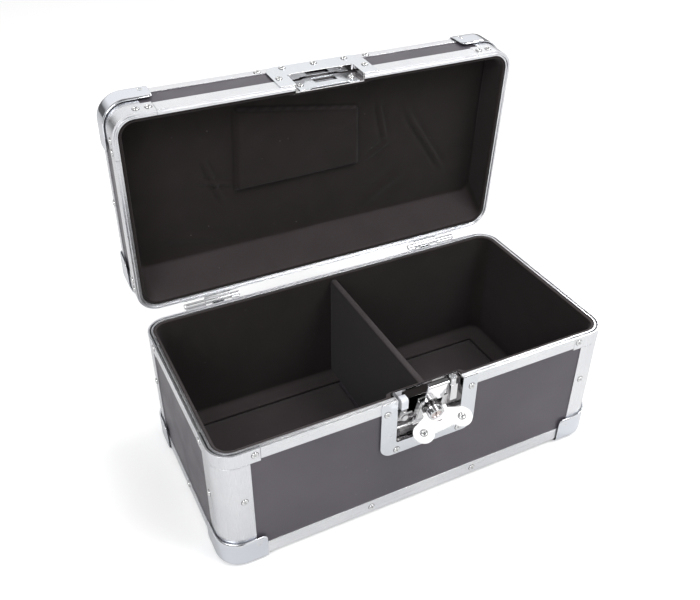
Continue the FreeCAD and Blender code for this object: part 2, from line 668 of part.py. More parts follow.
def latch_dish(label, front, deep, edge, window_edge, outer_edge, upward, place=HOME):
    """Flange with a pocket of some depth that is open along the parting line."""
    body = new_body(label, place)
    flange_x = size("dish_width") / 2
    slab(body, "flange", "XZ_Plane", [box_outline(-flange_x, flange_x, edge, outer_edge)],
         front - dish_metal, front)
    round_edges(body, "flange_corners", size("dish_round"),
                lambda seam: along(ACROSS)(seam) and near(seam, z=outer_edge))
    wall = window_edge + dish_metal * upward
    slab(body, "pocket", "XZ_Plane",
         [box_outline(-window_x - dish_metal, window_x + dish_metal, edge, wall)], front, front + deep)
    cut(body, "window", "XZ_Plane",
        [box_outline(-window_x, window_x, edge - over * upward, window_edge)],
        front - dish_metal - over, front + deep - dish_metal)
    round_edges(body, "window_corners", size("window_round"),
                lambda seam: along(ACROSS)(seam) and near(seam, z=window_edge) and
                abs(abs(seam.CenterOfMass.x) - window_x.number) < CLOSE)
    return body


window_low = top - size("window_height")
dish = latch_dish("latch_dish", -half_y, recess, top, window_low, top - size("dish_height"), -1)
cut(dish, "peep_opening", "XZ_Plane",
    [box_outline(-size("peep_half"), size("peep_half"), top - size("peep_bottom"), top - size("peep_top"))],
    -half_y + recess - dish_metal - over, over + recess - half_y)
pivot_y = size("pivot_inset") - half_y
pivot_z = top - size("pivot_drop")
pin_hole = size("pivot_pin_radius") + size("pivot_clearance")
cut(dish, "pin_holes", "YZ_Plane", [((pivot_y, pivot_z), pin_hole)],
    -window_x - dish_metal - over, window_x + dish_metal + over)
latch_dish("lid_dish", lid_front, lid_recess, gap, size("lid_window_height"), size("lid_dish_height"), 1,
           OPEN)

pivot_pin = new_body("latch_pivot_pin")
slab(pivot_pin, "pin", "YZ_Plane", [((pivot_y, pivot_z), size("pivot_pin_radius"))],
     -window_x - dish_metal / 2, window_x + dish_metal / 2)

# A pale guide block stands on the dish back at the left, a post with a round peg on top at the right.
guide_back = recess - dish_metal - half_y
guide_front = guide_back - size("guide_depth")
guide_high = top - size("guide_drop")
guide_block = new_body("latch_guide_block")
slab(guide_block, "block", "XZ_Plane",
     [box_outline(-size("guide_inner") - size("guide_width"), -size("guide_inner"),
                  guide_high - size("guide_height"), guide_high)], guide_front, guide_back)
cut(guide_block, "lead_in", "YZ_Plane",
    [[(guide_front, guide_high), (guide_front + size("guide_lead"), guide_high),
      (guide_front, guide_high - size("guide_lead"))]], -window_x, window_x)
post_left = size("peg_post_inner")
post_right = post_left + size("peg_post_width")
post_high = top - size("peg_height")
locating_peg = new_body("locating_peg")
slab(locating_peg, "post", "XZ_Plane",
     [box_outline(post_left, post_right, top - size("peg_post_drop"), post_high)], guide_front, guide_back)
slab(locating_peg, "peg", "XY_Plane",
     [(((post_left + post_right) / 2, guide_back - size("peg_inset")), size("peg_radius"))], post_high, top)

# Return spring: a coil on a stud at the left of the dish, its leg resting beside the arm.
stud_x = -size("coil_stud_offset")
stud_z = top - size("coil_stud_drop")
stud = new_body("spring_stud")
slab(stud, "stem", "XZ_Plane", [ring_outline(size("coil_stud_radius"), (stud_x, stud_z))],
     guide_back - size("coil_stud_length"), guide_back)
slab(stud, "head", "XZ_Plane", [ring_outline(size("coil_stud_head"), (stud_x, stud_z))],
     guide_back - size("coil_stud_length") - size("coil_wire"), guide_back - size("coil_stud_length"))


def coil_shape():
    """Square wire wound on the stud in short straight lengths, then led off to the arm."""
    turns = plain(size("coil_turns"))
    pitch = plain(size("coil_pitch"))
    mean = plain(size("coil_radius"))
    wire = plain(size("coil_wire"))
    lengths = int(turns * COIL_SIDES)
    path = []
    for number in range(lengths + 1):
        turn = 2 * math.pi * number / COIL_SIDES
        out = pitch * number / COIL_SIDES
        path.append(FreeCAD.Vector(mean * math.sin(turn), -out, mean * math.cos(turn)))
    leg_end = plain(size("coil_stud_offset") - size("arm_half_width") - size("running_gap")) - wire
    path.append(path[-1] + FreeCAD.Vector(leg_end, 0, 0))
    corners = [FreeCAD.Vector(0, a * wire, mean + b * wire) for a, b in ((-1, -1), (1, -1), (1, 1), (-1, 1))]
    ring = Part.makePolygon(corners + corners[:1])
    sweep = Part.BRepOffsetAPI.MakePipeShell(Part.makePolygon(path))
    sweep.setFrenetMode(False)
    sweep.setTransitionMode(1)
    sweep.add(ring, False, False)
    sweep.build()
    sweep.makeSolid()
    solid = sweep.shape()
    solid.translate(FreeCAD.Vector(stud_x.number, plain(guide_back) - wire, stud_z.number))
    return Part.makeCompound([solid])


add_shape("return_spring", coil_shape())

# Latch arm: tilts on the pivot pin, which is the origin of the arm, hook and turning head.
PIVOT = HOME + " * placement(vector(0; %s; %s); rotationx(0))" % (pivot_y.formula, pivot_z.formula)
TILT = PIVOT + " * placement(vector(0; 0; 0); rotationx(sizes.latch_rest_tilt))"
inset = size("pivot_inset")
drop = size("pivot_drop")
arm_x = size("arm_half_width")
arm_front = size("arm_front") - inset
arm_back = arm_front + size("arm_thickness")
head_z = drop - size("head_drop")
hook_front = size("hook_front") - inset
hook_back = hook_front + size("hook_thickness")

arm = new_body("latch_arm", TILT)
slab(arm, "arm_plate", "XZ_Plane", [box_outline(-arm_x, arm_x, 0, drop - size("arm_top_drop"))],
     arm_front, arm_back)
slab(arm, "barrel", "YZ_Plane", [((0, 0), size("ear_radius"))], -arm_x, arm_x)
rail_low = size("rail_low")
rail_high = drop - size("hook_shoulder_drop") - size("rail_drop")
rail_x = size("hook_half_width") + size("running_gap")
slab(arm, "guide_rails", "XZ_Plane",
     [box_outline(rail_x, arm_x, rail_low, rail_high), box_outline(-arm_x, -rail_x, rail_low, rail_high)],
     hook_front, arm_front)
cut(arm, "pin_bore", "YZ_Plane", [((0, 0), pin_hole)], -arm_x - over, arm_x + over)
cut(arm, "journal_hole", "XZ_Plane",
    [((0, head_z), size("journal_radius") + size("journal_clearance"))], arm_front - over, arm_back + over)

# Draw hook: slides on the arm, its window rides on the eccentric and its rolled top grips the keeper.
hook = new_body("draw_hook", TILT)
hook_x = size("hook_half_width")
hook_top = drop + size("hook_top")
shoulder = drop - size("hook_shoulder_drop")
hook_low = drop - size("hook_bottom_drop")
neck_x = size("hook_top_half")
slab(hook, "hook_plate", "XZ_Plane",
     [[(-hook_x, hook_low), (hook_x, hook_low), (hook_x, shoulder), (neck_x, shoulder), (neck_x, hook_top),
       (-neck_x, hook_top), (-neck_x, shoulder), (-hook_x, shoulder)]], hook_front, hook_back)
slab(hook, "hook_lip", "XZ_Plane",
     [box_outline(-neck_x, neck_x, hook_top - size("hook_lip_thickness"), hook_top)],
     hook_back, size("hook_lip_in") - inset)
cam_x = size("cam_radius") + size("cam_throw") + size("running_gap")
window_mid = head_z + size("cam_throw")
window_half = size("cam_radius") + size("cam_clearance")
cut(hook, "cam_window", "XZ_Plane",
    [box_outline(-cam_x, cam_x, window_mid - window_half, window_mid + window_half)],
    hook_front - over, hook_back + over)
roll = size("hook_roll")
slab(hook, "rolled_edge", "YZ_Plane", [((hook_front, hook_top - roll), roll)],
     -neck_x, neck_x)

# Turning head: lock housing with the wing's two pins, an eccentric in the hook window and a journal.
HEAD_TURN = " * placement(vector(0; 0; %s); rotationy(0 - sizes.wing_rest_turn))"
HEAD = TILT + HEAD_TURN % head_z.formula
head_front = -size("head_out") - inset
head = new_body("turning_head", HEAD)
collar_front = hook_front - size("running_gap") - size("collar_length")
slab(head, "housing", "XZ_Plane", [((0, 0), size("head_radius"))], head_front, collar_front)
slab(head, "collar", "XZ_Plane", [((0, 0), size("collar_radius"))], collar_front,
     hook_front - size("running_gap"))
journal_front = (hook_back + arm_front) / 2
slab(head, "eccentric", "XZ_Plane", [((0, size("cam_throw")), size("cam_radius"))],
     hook_front - size("running_gap"), journal_front)
slab(head, "journal", "XZ_Plane", [((0, 0), size("journal_radius"))],
     journal_front, arm_back + size("running_gap"))
slab(head, "retaining_washer", "XZ_Plane", [ring_outline(size("cam_radius"))],
     arm_back + size("running_gap"), arm_back + size("running_gap") + size("washer_thickness"))
plug_back = head_front + size("plug_depth")
cut(head, "plug_bore", "XZ_Plane", [((0, 0), size("plug_radius") + size("pin_clearance"))],
    head_front - over, plug_back)
wing_pin_y = head_front + size("wing_pin_out")
wing_x = size("head_radius") + size("wing_slot_clearance")
arm_out = size("wing_waist")
pin_start = size("head_radius") - size("pin_seat")
slab(head, "right_pin", "YZ_Plane", [((wing_pin_y, 0), size("wing_pin_radius"))], pin_start, arm_out)
slab(head, "left_pin", "YZ_Plane", [((wing_pin_y, 0), size("wing_pin_radius"))], -arm_out, -pin_start)

plug = new_body("key_plug", HEAD)
slab(plug, "plug_body", "XZ_Plane", [((0, 0), size("plug_radius"))],
     head_front + size("plug_step_depth"), plug_back - size("running_gap"))
key_half = size("keyway_width") / 2
key_long = size("keyway_length") / 2
cut(plug, "keyway", "XZ_Plane", [box_outline(-key_half, key_half, -key_long, key_long)],
    head_front - over, head_front + size("plug_step_depth") + size("keyway_depth"))

# Butterfly wing: folds out on the two pins of the turning head; drawn hanging flat.
WING_FOLD = " * placement(vector(0; %s; 0); rotationx(0 - sizes.wing_rest_fold))"
WING = HEAD + WING_FOLD % wing_pin_y.formula


def wing_shape():
    """Two round lobes joined by a waist, open round the head, with a folded lip between the lobes."""
    lobe_x = plain(size("lobe_spacing"))
    lobe_z = -plain(size("lobe_drop"))
    lobe_r = plain(size("lobe_radius"))
    thick = plain(size("wing_thickness"))
    waist = plain(size("wing_waist"))
    slot = plain(wing_x)
    hole_low = -plain(size("wing_hole_low"))
    ear = plain(size("ear_rise"))
    lip = plain(size("wing_lip"))
    facing = FreeCAD.Vector(0, -1, 0)

    def disc(x, z, r):
        return Part.makeCylinder(r, thick, FreeCAD.Vector(x, thick / 2, z), facing)

    def slice_of(points):
        wire = Part.makePolygon([FreeCAD.Vector(x, thick / 2, z) for x, z in points + points[:1]])
        return Part.Face(wire).extrude(facing * thick)

    lip_z = lobe_z - lobe_r * SHARES["lobe_waist_share"]
    side_x = lobe_x + lobe_r * SHARES["lobe_side_share"]
    side_z = lobe_z + lobe_r * SHARES["lobe_shoulder_share"]
    middle = slice_of([(-waist, ear), (-waist, -ear), (-side_x, side_z), (-lobe_x, lip_z), (lobe_x, lip_z),
                       (side_x, side_z), (waist, -ear), (waist, ear)])
    plate = middle.fuse([disc(-lobe_x, lobe_z, lobe_r), disc(lobe_x, lobe_z, lobe_r)]).removeSplitter()
    ear_edges = [edge for edge in plate.Edges if along(ACROSS)(edge) and edge.CenterOfMass.z > 0
                 and abs(abs(edge.CenterOfMass.x) - waist) < CLOSE]
    plate = plate.makeFillet((waist - slot) * SHARES["ear_corner_share"], ear_edges)
    past = ear + plain(over)
    opening = slice_of([(-slot, past), (slot, past), (slot, hole_low + slot), (-slot, hole_low + slot)])
    opening = opening.fuse(disc(0, hole_low + slot, slot))
    plate = plate.cut(opening)
    half_lip = lobe_x - lobe_r * SHARES["lip_side_share"]
    lip_corner = FreeCAD.Vector(-half_lip, thick / 2 - lip, lip_z)
    fold = Part.makeBox(half_lip + half_lip, lip, thick, lip_corner)
    plate = plate.fuse(fold).removeSplitter()
    for side in (-1, 1):
        outward = FreeCAD.Vector(side, 0, 0)
        barrel_radius = plain(size("wing_barrel"))
        plate = plate.fuse(Part.makeCylinder(barrel_radius, waist - slot, outward * slot, outward))
        bore_radius = plain(size("wing_pin_radius") + size("pin_clearance"))
        plate = plate.cut(Part.makeCylinder(bore_radius, waist, FreeCAD.Vector(), outward))
    return plate


add_shape("butterfly_wing", wing_shape(), WING)


def stud_shapes():
    radius_here = plain(size("stud_radius"))
    rise = plain(size("stud_rise"))
    face = -plain(size("wing_thickness")) / 2
    pieces = []
    for side in (-1, 1):
        centre = FreeCAD.Vector(side * plain(size("lobe_spacing")), face, -plain(size("lobe_drop")))
        button = frustum(radius_here, radius_here * SHARES["stud_top_share"], rise)
        button.Placement = FreeCAD.Placement(centre, FreeCAD.Rotation(UP, FreeCAD.Vector(0, -1, 0)))
        pieces.append(button)
    return Part.makeCompound(pieces)


add_shape("wing_studs", stud_shapes(), WING)


# Keeper: an arched plate in the lid dish whose slot takes the lip of the hook.
keeper_back = lid_front + lid_recess - dish_metal
keeper_metal = size("keeper_thickness")
keeper_front = lid_front + size("keeper_reach")
keeper_low = gap + size("keeper_gap")
keeper_high = size("keeper_height")
arch_x = size("keeper_arch_half")
foot_x = arch_x + size("keeper_arch_slope")
keeper_x = size("keeper_half_width")
slot_x = neck_x + size("slot_side")
keeper = new_body("keeper", OPEN)
foot_front = keeper_back - keeper_metal
bend = keeper_metal / 2
right_half = [(arch_x, keeper_front), (foot_x, foot_front), (keeper_x, foot_front), (keeper_x, keeper_back),
              (foot_x - bend, keeper_back), (arch_x - bend, keeper_front + keeper_metal)]
left_half = [(-x, y) for x, y in reversed(right_half)]
slab(keeper, "arched_plate", "XY_Plane", [right_half + left_half], keeper_low, keeper_high)
cut(keeper, "lip_slot", "XZ_Plane",
    [box_outline(-slot_x, slot_x, size("keeper_bar_top"), size("keeper_bar_top") + size("slot_height"))],
    keeper_front - over, keeper_front + keeper_metal)

# Hinges: the body leaf carries two knuckles and a stop tab, the lid leaf the long knuckle and its tail.
knuckle = size("knuckle_radius")
leaf = size("leaf_thickness")
leaf_face = -size("hinge_inset")
bore = size("hinge_pin_radius") + size("pin_clearance")
first_end = size("knuckle_short")
second_start = first_end + size("knuckle_long")
hinge_end = size("hinge_width")
hinge_left = half_x - size("hinge_end_inset") - hinge_end / 2
k_gap = size("knuckle_gap")
stop_mid = hinge_left + first_end + size("knuckle_long") / 2
stop_x = size("stop_width") / 2


def hinge_leaf(label, upward, spans, place):
    """Leaf on the back face with knuckles over some spans, drawn at the right and mirrored left."""
    body = new_body(label, place)
    low, high = (size("leaf_height") * upward, knuckle * upward / 2)
    slab(body, "leaf", "XZ_Plane", [box_outline(hinge_left, hinge_left + hinge_end, low, high)],
         leaf_face, leaf_face + leaf)
    round_edges(body, "leaf_corners", size("leaf_round"),
                lambda edge: along(ACROSS)(edge) and near(edge, z=low))
    for number, (start, finish) in enumerate(spans):
        web = [(leaf_face, knuckle * upward / 2), (0, knuckle * upward / 2), (0, knuckle * upward),
               (leaf_face, knuckle * upward)]
        slab(body, "web_%d" % number, "YZ_Plane", [web], hinge_left + start, hinge_left + finish)
        slab(body, "knuckle_%d" % number, "YZ_Plane", [((0, 0), knuckle)],
             hinge_left + start, hinge_left + finish)
    cut(body, "pin_bore", "YZ_Plane", [((0, 0), bore)], hinge_left - over, hinge_left + hinge_end + over)
    return body


body_leaves = hinge_leaf("hinge_body_leaves", -1, ((0, first_end - k_gap), (second_start + k_gap, hinge_end)),
                         HINGE)
stop_high = -knuckle - size("leaf_slot_clearance")
slab(body_leaves, "stop_tab", "YZ_Plane",
     [box_outline(leaf_face, size("stop_reach"), stop_high - leaf, stop_high)],
     stop_mid - stop_x, stop_mid + stop_x)
mirrored(body_leaves, "left_hinge", "YZ_Plane")
lid_leaves = hinge_leaf("hinge_lid_leaves", 1, ((first_end, second_start),), OPEN)
slab(lid_leaves, "stop_tail", "YZ_Plane", [box_outline(0, size("stop_length"), knuckle / 2, knuckle)],
     stop_mid - stop_x, stop_mid + stop_x)
mirrored(lid_leaves, "left_lid_leaf", "YZ_Plane")
hinge_pins = new_body("hinge_pins", HINGE)
slab(hinge_pins, "pin", "YZ_Plane", [((0, 0), size("hinge_pin_radius"))], hinge_left, hinge_left + hinge_end)
hinge_right = hinge_left + hinge_end
pin_head = size("pin_head_length")
for name, low, high in (("inner_head", hinge_left - pin_head, hinge_left),
                        ("outer_head", hinge_right, hinge_right + pin_head)):
    slab(hinge_pins, name, "YZ_Plane", [ring_outline(size("hinge_pin_head"))], low, high)
mirrored(hinge_pins, "left_pin", "YZ_Plane")

# Carrying handle: a tray let into the lid top, two lugs and a bail with a rubber grip.
deck = lid_top - metal
flange_high = deck + handle_metal
tray = new_body("handle_tray", OPEN)
flange_half_x = size("handle_length") / 2
flange_half_y = size("handle_width") / 2
slab(tray, "tray_flange", "XY_Plane",
     [box_outline(-flange_half_x, flange_half_x, lid_middle - flange_half_y, lid_middle + flange_half_y)],
     deck, flange_high)
round_edges(tray, "flange_corners", size("handle_flange_round"), along(UP))
tray_floor = flange_high - size("tray_depth")
slab(tray, "tray_walls", "XY_Plane",
     [box_outline(-tray_x - handle_metal, tray_x + handle_metal, lid_middle - tray_y - handle_metal,
                  lid_middle + tray_y + handle_metal)], tray_floor - handle_metal, deck)
cut(tray, "tray_hollow", "XY_Plane", [box_outline(-tray_x, tray_x, lid_middle - tray_y, lid_middle + tray_y)],
    tray_floor, flange_high + over)
round_edges(tray, "tray_inner_corners", size("tray_round"),
            lambda edge: along(UP)(edge) and abs(abs(edge.CenterOfMass.x) - tray_x.number) < CLOSE)
tray_outside = plain(tray_x + handle_metal)
round_edges(tray, "tray_outer_corners", size("tray_round") + handle_metal,
            lambda edge: along(UP)(edge) and abs(abs(edge.CenterOfMass.x) - tray_outside) < CLOSE)
bail_y = lid_middle - size("bail_axis_offset")
bail_z = flange_high - size("bail_depth")
lug_out = size("bail_length") / 2 + size("bail_radius") + butt
lugs = new_body("handle_lugs", OPEN)
slab(lugs, "right_lug", "XZ_Plane",
     [box_outline(lug_out, lug_out + size("lug_thickness"), tray_floor, flange_high - size("lug_drop"))],
     bail_y - size("lug_radius"), bail_y + size("lug_radius"))
cut(lugs, "lug_bore", "YZ_Plane", [((bail_y, bail_z), size("handle_pin_radius") + size("pin_clearance"))],
    0, lug_out + size("lug_thickness") + over)
mirrored(lugs, "left_lug", "YZ_Plane")
BAIL = OPEN + " * placement(vector(0; %s; %s); rotationx(0))" % (bail_y.formula, bail_z.formula)


def bail_shape():
    """Round bar bent to a bow in straight lengths, with an eye and a pin at each end."""
    bar = plain(size("bail_radius"))
    pin = plain(size("handle_pin_radius"))
    side = plain(size("bail_length")) / 2
    reach = plain(size("bail_reach"))
    bend = plain(size("bail_corner"))
    out = plain(lug_out + size("lug_thickness"))
    corners = [(-side, 0), (-side, reach - bend), (bend - side, reach), (side - bend, reach),
               (side, reach - bend), (side, 0)]
    path = Part.makePolygon([FreeCAD.Vector(x, y, 0) for x, y in corners])
    section = [FreeCAD.Vector(bar * math.cos(turn) - side, 0, bar * math.sin(turn))
               for turn in ring_turns(BAIL_SIDES)]
    ring = Part.makePolygon(section + section[:1])
    sweep = Part.BRepOffsetAPI.MakePipeShell(path)
    sweep.setTransitionMode(1)
    sweep.add(ring, False, False)
    sweep.build()
    sweep.makeSolid()
    bow = sweep.shape()
    for turn in (-1, 1):
        outward = FreeCAD.Vector(turn, 0, 0)
        eye = frustum(bar, bar, bar + bar)
        eye.Placement = FreeCAD.Placement(outward * (side - bar), FreeCAD.Rotation(UP, outward))
        bow = bow.fuse(eye)
        bow = bow.fuse(Part.makeCylinder(pin, out - side, outward * side, outward))
    return bow


add_shape("handle_bail", bail_shape(), BAIL)
grip = new_body("handle_grip", BAIL)
grip_half = size("grip_length") / 2
grip_y = size("bail_reach")
slab(grip, "sleeve", "YZ_Plane", [((grip_y, 0), size("grip_radius"))], -grip_half, grip_half)
cut(grip, "sleeve_bore", "YZ_Plane", [((grip_y, 0), size("bail_radius"))], -grip_half, grip_half)

# Lining: cloth on the walls and turned on to the floor, a cover over the dish, floor pads, a divider.
lining = size("lining_thickness")
cloth_gap = size("cloth_gap")
cloth_out = rim_width + cloth_gap
cloth_in = cloth_out + lining
floor_cloth = size("floor_pad_thickness")
cover_x = window_x + dish_metal + size("dish_backing")
cover_y = recess + size("dish_backing")
lid_cover_y = lid_recess + size("dish_backing")
cover_low = window_low - dish_metal - size("dish_backing")


def lining_walls(label, front, back, levels, void_levels, lean, place=HOME):
    """Soft box of cloth round the four walls and over the board, with round corners."""
    body = new_body(label, place)
    slab(body, "cloth", "XY_Plane",
         [box_outline(cloth_out - half_x, half_x - cloth_out, front + cloth_out, back - cloth_out)],
         levels[0], levels[1])
    far = back - cloth_in
    void = [(front + cloth_in, void_levels[0]), (far, void_levels[0]),
            (far - lean if lean else far, void_levels[1]), (front + cloth_in, void_levels[1])]
    cut(body, "inside", "YZ_Plane", [void], cloth_in - half_x, half_x - cloth_in)
    for name, inset in (("cloth_inside", cloth_in), ("cloth_outside", cloth_out)):
        wanted = plain(half_x - inset)
        round_edges(body, name, radius - inset,
                    lambda edge: rising(edge) and abs(abs(edge.CenterOfMass.x) - wanted) < CLOSE)
    return body


def rising(edge):
    """A straight edge that climbs from the rim, upright or leaning."""
    if edge.Curve.TypeId != "Part::GeomLine":
        return False
    return abs(edge.Curve.Direction.z) > CLOSE


cloth_high = top - size("lining_drop")
body_lining = lining_walls("body_lining", -half_y, half_y, (floor_high, cloth_high),
                           (floor_high + floor_cloth, cloth_high), 0)
margin = cloth_in + size("floor_pad_margin")
cut(body_lining, "floor_turn_in", "XY_Plane",
    [box_outline(margin - half_x, half_x - margin, margin - half_y, half_y - margin)],
    floor_high - over, floor_high + floor_cloth + over)
notch_x = cover_x + cloth_gap
cut(body_lining, "cover_notch", "XZ_Plane",
    [box_outline(-notch_x, notch_x, cover_low - cloth_gap, cloth_high + over)],
    cloth_out - half_y - over, cloth_in - half_y + over)
hole_x = window_x + dish_metal + butt
hole_low = window_low - dish_metal - butt
latch_cover = new_body("latch_cloth_cover")
slab(latch_cover, "cover", "XZ_Plane", [box_outline(-cover_x, cover_x, cover_low, cloth_high)],
     cloth_out - half_y, cover_y - half_y)
cut(latch_cover, "dish_hollow", "XZ_Plane", [box_outline(-hole_x, hole_x, hole_low, top + over)],
    -half_y, recess + butt - half_y)

pads = new_body("floor_pads")
pad_edge = margin + size("pad_slit")
pad_mid = size("divider_thickness") / 2 + size("pad_slit")
slab(pads, "right_pad", "XY_Plane",
     [box_outline(pad_mid, half_x - pad_edge, pad_edge - half_y, half_y - pad_edge)],
     floor_high, floor_high + floor_cloth)
mirrored(pads, "left_pad", "YZ_Plane")

divider_x = size("divider_thickness") / 2
divider_top = top - size("divider_drop")
divider = new_body("divider")
slack = size("pad_slit") / 2
wall_y = cloth_in + slack
step_y = cover_y + slack
step_z = cover_low - slack
board_low = floor_high + floor_cloth + butt
slab(divider, "divider_board", "YZ_Plane",
     [[(wall_y - half_y, board_low), (half_y - wall_y, board_low), (half_y - wall_y, divider_top),
       (step_y - half_y, divider_top), (step_y - half_y, step_z), (wall_y - half_y, step_z)]],
     -divider_x, divider_x)
round_edges(divider, "divider_top_round", size("divider_round"),
            lambda edge: near(edge, z=divider_top) and along(ACROSS)(edge))

# Lid lining: the cloth slants from the back rim to the padded top; a padded panel covers part of it.
cloth_top = lid_wall_high
cloth_deck = lid_wall_high - size("lid_lining_thickness")
lid_cloth_low = gap + size("lining_drop")
lid_lining = lining_walls("lid_lining", lid_front, lid_back, (lid_cloth_low, cloth_top),
                          (lid_cloth_low, cloth_deck), size("lid_lining_slant"), OPEN)
lid_cover_top = size("lid_window_height") + dish_metal + size("dish_backing")
cut(lid_lining, "cover_notch", "XZ_Plane",
    [box_outline(-notch_x, notch_x, lid_cloth_low - over, lid_cover_top + cloth_gap)],
    lid_front + cloth_out - over, lid_front + cloth_in + over)
lid_cover = new_body("lid_latch_cloth_cover", OPEN)
slab(lid_cover, "cover", "XZ_Plane", [box_outline(-cover_x, cover_x, lid_cloth_low, lid_cover_top)],
     lid_front + cloth_out, lid_front + lid_cover_y)
cut(lid_cover, "dish_hollow", "XZ_Plane", [box_outline(-hole_x, hole_x, 0, lid_dish_top)],
    lid_front, lid_front + lid_recess + butt)
cut(lid_lining, "tray_room", "XY_Plane",
    [box_outline(-cutout_x, cutout_x, lid_middle - cutout_y, lid_middle + cutout_y)],
    tray_floor - handle_metal - size("running_gap"), cloth_top + over)
lid_pad = new_body("lid_padded_panel", OPEN)
pad_low = cloth_deck - size("lid_pad_thickness")
slab(lid_pad, "padded_panel", "XY_Plane",
     [box_outline(-size("lid_pad_left"), size("lid_pad_right"), lid_front + size("lid_pad_near"),
                  lid_front + size("lid_pad_far"))], pad_low, cloth_deck)
round_edges(lid_pad, "panel_edges", size("lid_pad_round"), lambda edge: near(edge, z=pad_low))

# Rubber feet and the screws that hold them.
foot_x = half_x - size("foot_inset")
foot_y = half_y - size("foot_inset")


def at_feet(shape):
    return Part.makeCompound([shape.translated(FreeCAD.Vector(sx * foot_x.number, sy * foot_y.number, 0))
                              for sx in (-1, 1) for sy in (-1, 1)])


foot_r = plain(size("foot_radius"))
foot_high = plain(base)
seat_high = foot_high + plain(metal)
foot = frustum(foot_r - plain(size("foot_taper")), foot_r, seat_high, FOOT_SIDES)
well_radius = plain(size("foot_screw_radius") + size("butt_gap"))
foot = foot.cut(frustum(well_radius, well_radius, plain(size("foot_recess"))))
add_shape("rubber_feet", at_feet(foot))
screw_radius = plain(size("foot_screw_radius"))
screw_head = frustum(screw_radius * SHARES["screw_top_share"], screw_radius, plain(size("screw_head_height")))
screw_head.translate(FreeCAD.Vector(0, 0, plain(size("foot_recess") - size("screw_head_height"))))
slot = Part.makeBox(foot_r, plain(size("keyway_width")) / 2, plain(size("screw_head_height")) / 2)
slot.translate(FreeCAD.Vector(-foot_r / 2, -plain(size("keyway_width")) / 4,
                              plain(size("foot_recess") - size("screw_head_height"))))
add_shape("foot_screws", at_feet(screw_head.cut(slot)))

# Rivets: one low head repeated wherever the metal is fixed, set by its spot and outward direction.


def rivet_head():
    return frustum(plain(size("rivet_radius")), plain(size("rivet_radius")) * SHARES["rivet_top_share"],
                   plain(size("rivet_height")))


def rivets(spots):
    pieces = []
    for spot, outward in spots:
        head = rivet_head()
        head.Placement = FreeCAD.Placement(spot, FreeCAD.Rotation(UP, outward))
        pieces.append(head)
    return Part.makeCompound(pieces)


FRONTWARD = FreeCAD.Vector(0, -1, 0)
BACKWARD = FreeCAD.Vector(0, 1, 0)
LEFTWARD = FreeCAD.Vector(-1, 0, 0)
RIGHTWARD = FreeCAD.Vector(1, 0, 0)


def wall_spots(front, back, from_corner, height, proud):
    """Two spots on every wall, at one distance from the corners and one height."""
    x_face, y_front, y_back = plain(half_x), plain(front), plain(back)
    inset, z, proud = plain(from_corner), plain(height), plain(proud)
    found = []
    for side in (-1, 1):
        found.append((FreeCAD.Vector(side * (x_face - inset), y_front - proud, z), FRONTWARD))
        found.append((FreeCAD.Vector(side * (x_face - inset), y_back + proud, z), BACKWARD))
        for y_spot in (y_front + inset, y_back - inset):
            outward = RIGHTWARD if side > 0 else LEFTWARD
            found.append((FreeCAD.Vector(side * (x_face + proud), y_spot, z), outward))
    return found


def long_wall_spots(front, back, x, height):
    return [(FreeCAD.Vector(side * plain(x), plain(face), plain(height)), outward)
            for side in (-1, 1) for face, outward in ((front, FRONTWARD), (back, BACKWARD))]


spread = size("strip_rivet_spread")
body_spots = wall_spots(-half_y, half_y, size("post_rivet_inset"), base + size("post_rivet_rise"), 0)
body_spots += wall_spots(-half_y, half_y, size("rim_rivet_inset"), top - size("rim_rivet_drop"), 0)
body_spots += wall_spots(-half_y, half_y, size("cap_rivet_inset"), base + size("cap_rivet_rise"),
                         size("cap_thickness"))
body_spots += long_wall_spots(-half_y, half_y, spread, base + size("strip_rivet_rise"))
for side, outward in ((-1, LEFTWARD), (1, RIGHTWARD)):
    spot = FreeCAD.Vector(side * half_x.number, 0, plain(base + size("strip_rivet_rise")))
    body_spots.append((spot, outward))
add_shape("body_rivets", rivets(body_spots))

rim_level = gap + size("lid_rim_rivet_rise")
cap_level = lid_top - size("lid_cap_rivet_drop")
strip_level = lid_top - size("lid_strip_rivet_drop")
lid_spots = wall_spots(lid_front, lid_back, size("rim_rivet_inset"), rim_level, 0)
lid_spots += wall_spots(lid_front, lid_back, size("rim_rivet_inner_inset"), rim_level, 0)
lid_spots += wall_spots(lid_front, lid_back, size("lid_cap_rivet_inset"), cap_level, size("cap_thickness"))
lid_spots += long_wall_spots(lid_front, lid_back, spread, strip_level)
for side, outward in ((-1, LEFTWARD), (1, RIGHTWARD)):
    lid_spots.append((FreeCAD.Vector(side * half_x.number, plain(lid_middle), plain(strip_level)), outward))
add_shape("lid_rivets", rivets(lid_spots), OPEN)

dish_face = plain(-half_y - dish_metal)
dish_spots = []
for side in (-1, 1):
    for x, fall in ((size("dish_rivet_wide"), size("dish_rivet_drop")),
                    (size("dish_rivet_low_wide"), size("dish_rivet_low"))):
        dish_spots.append((FreeCAD.Vector(side * plain(x), dish_face, plain(top - fall)), FRONTWARD))
add_shape("latch_dish_rivets", rivets(dish_spots))

lid_dish_face = plain(lid_front - dish_metal)
lid_dish_spots = [(FreeCAD.Vector(side * plain(size("dish_rivet_wide")), lid_dish_face,
                                  plain(size("lid_dish_rivet_rise"))), FRONTWARD) for side in (-1, 1)]
for step in (-1, 0, 1):
    lid_dish_spots.append((FreeCAD.Vector(step * plain(size("lid_dish_rivet_spread")), lid_dish_face,
                                          plain(size("lid_dish_rivet_high"))), FRONTWARD))
keeper_face = plain(keeper_back - keeper_metal)
for side in (-1, 1):
    lid_dish_spots.append((FreeCAD.Vector(side * plain(size("keeper_rivet_wide")), keeper_face,
                                          plain(size("keeper_rivet_rise"))), FRONTWARD))
add_shape("lid_dish_rivets", rivets(lid_dish_spots), OPEN)

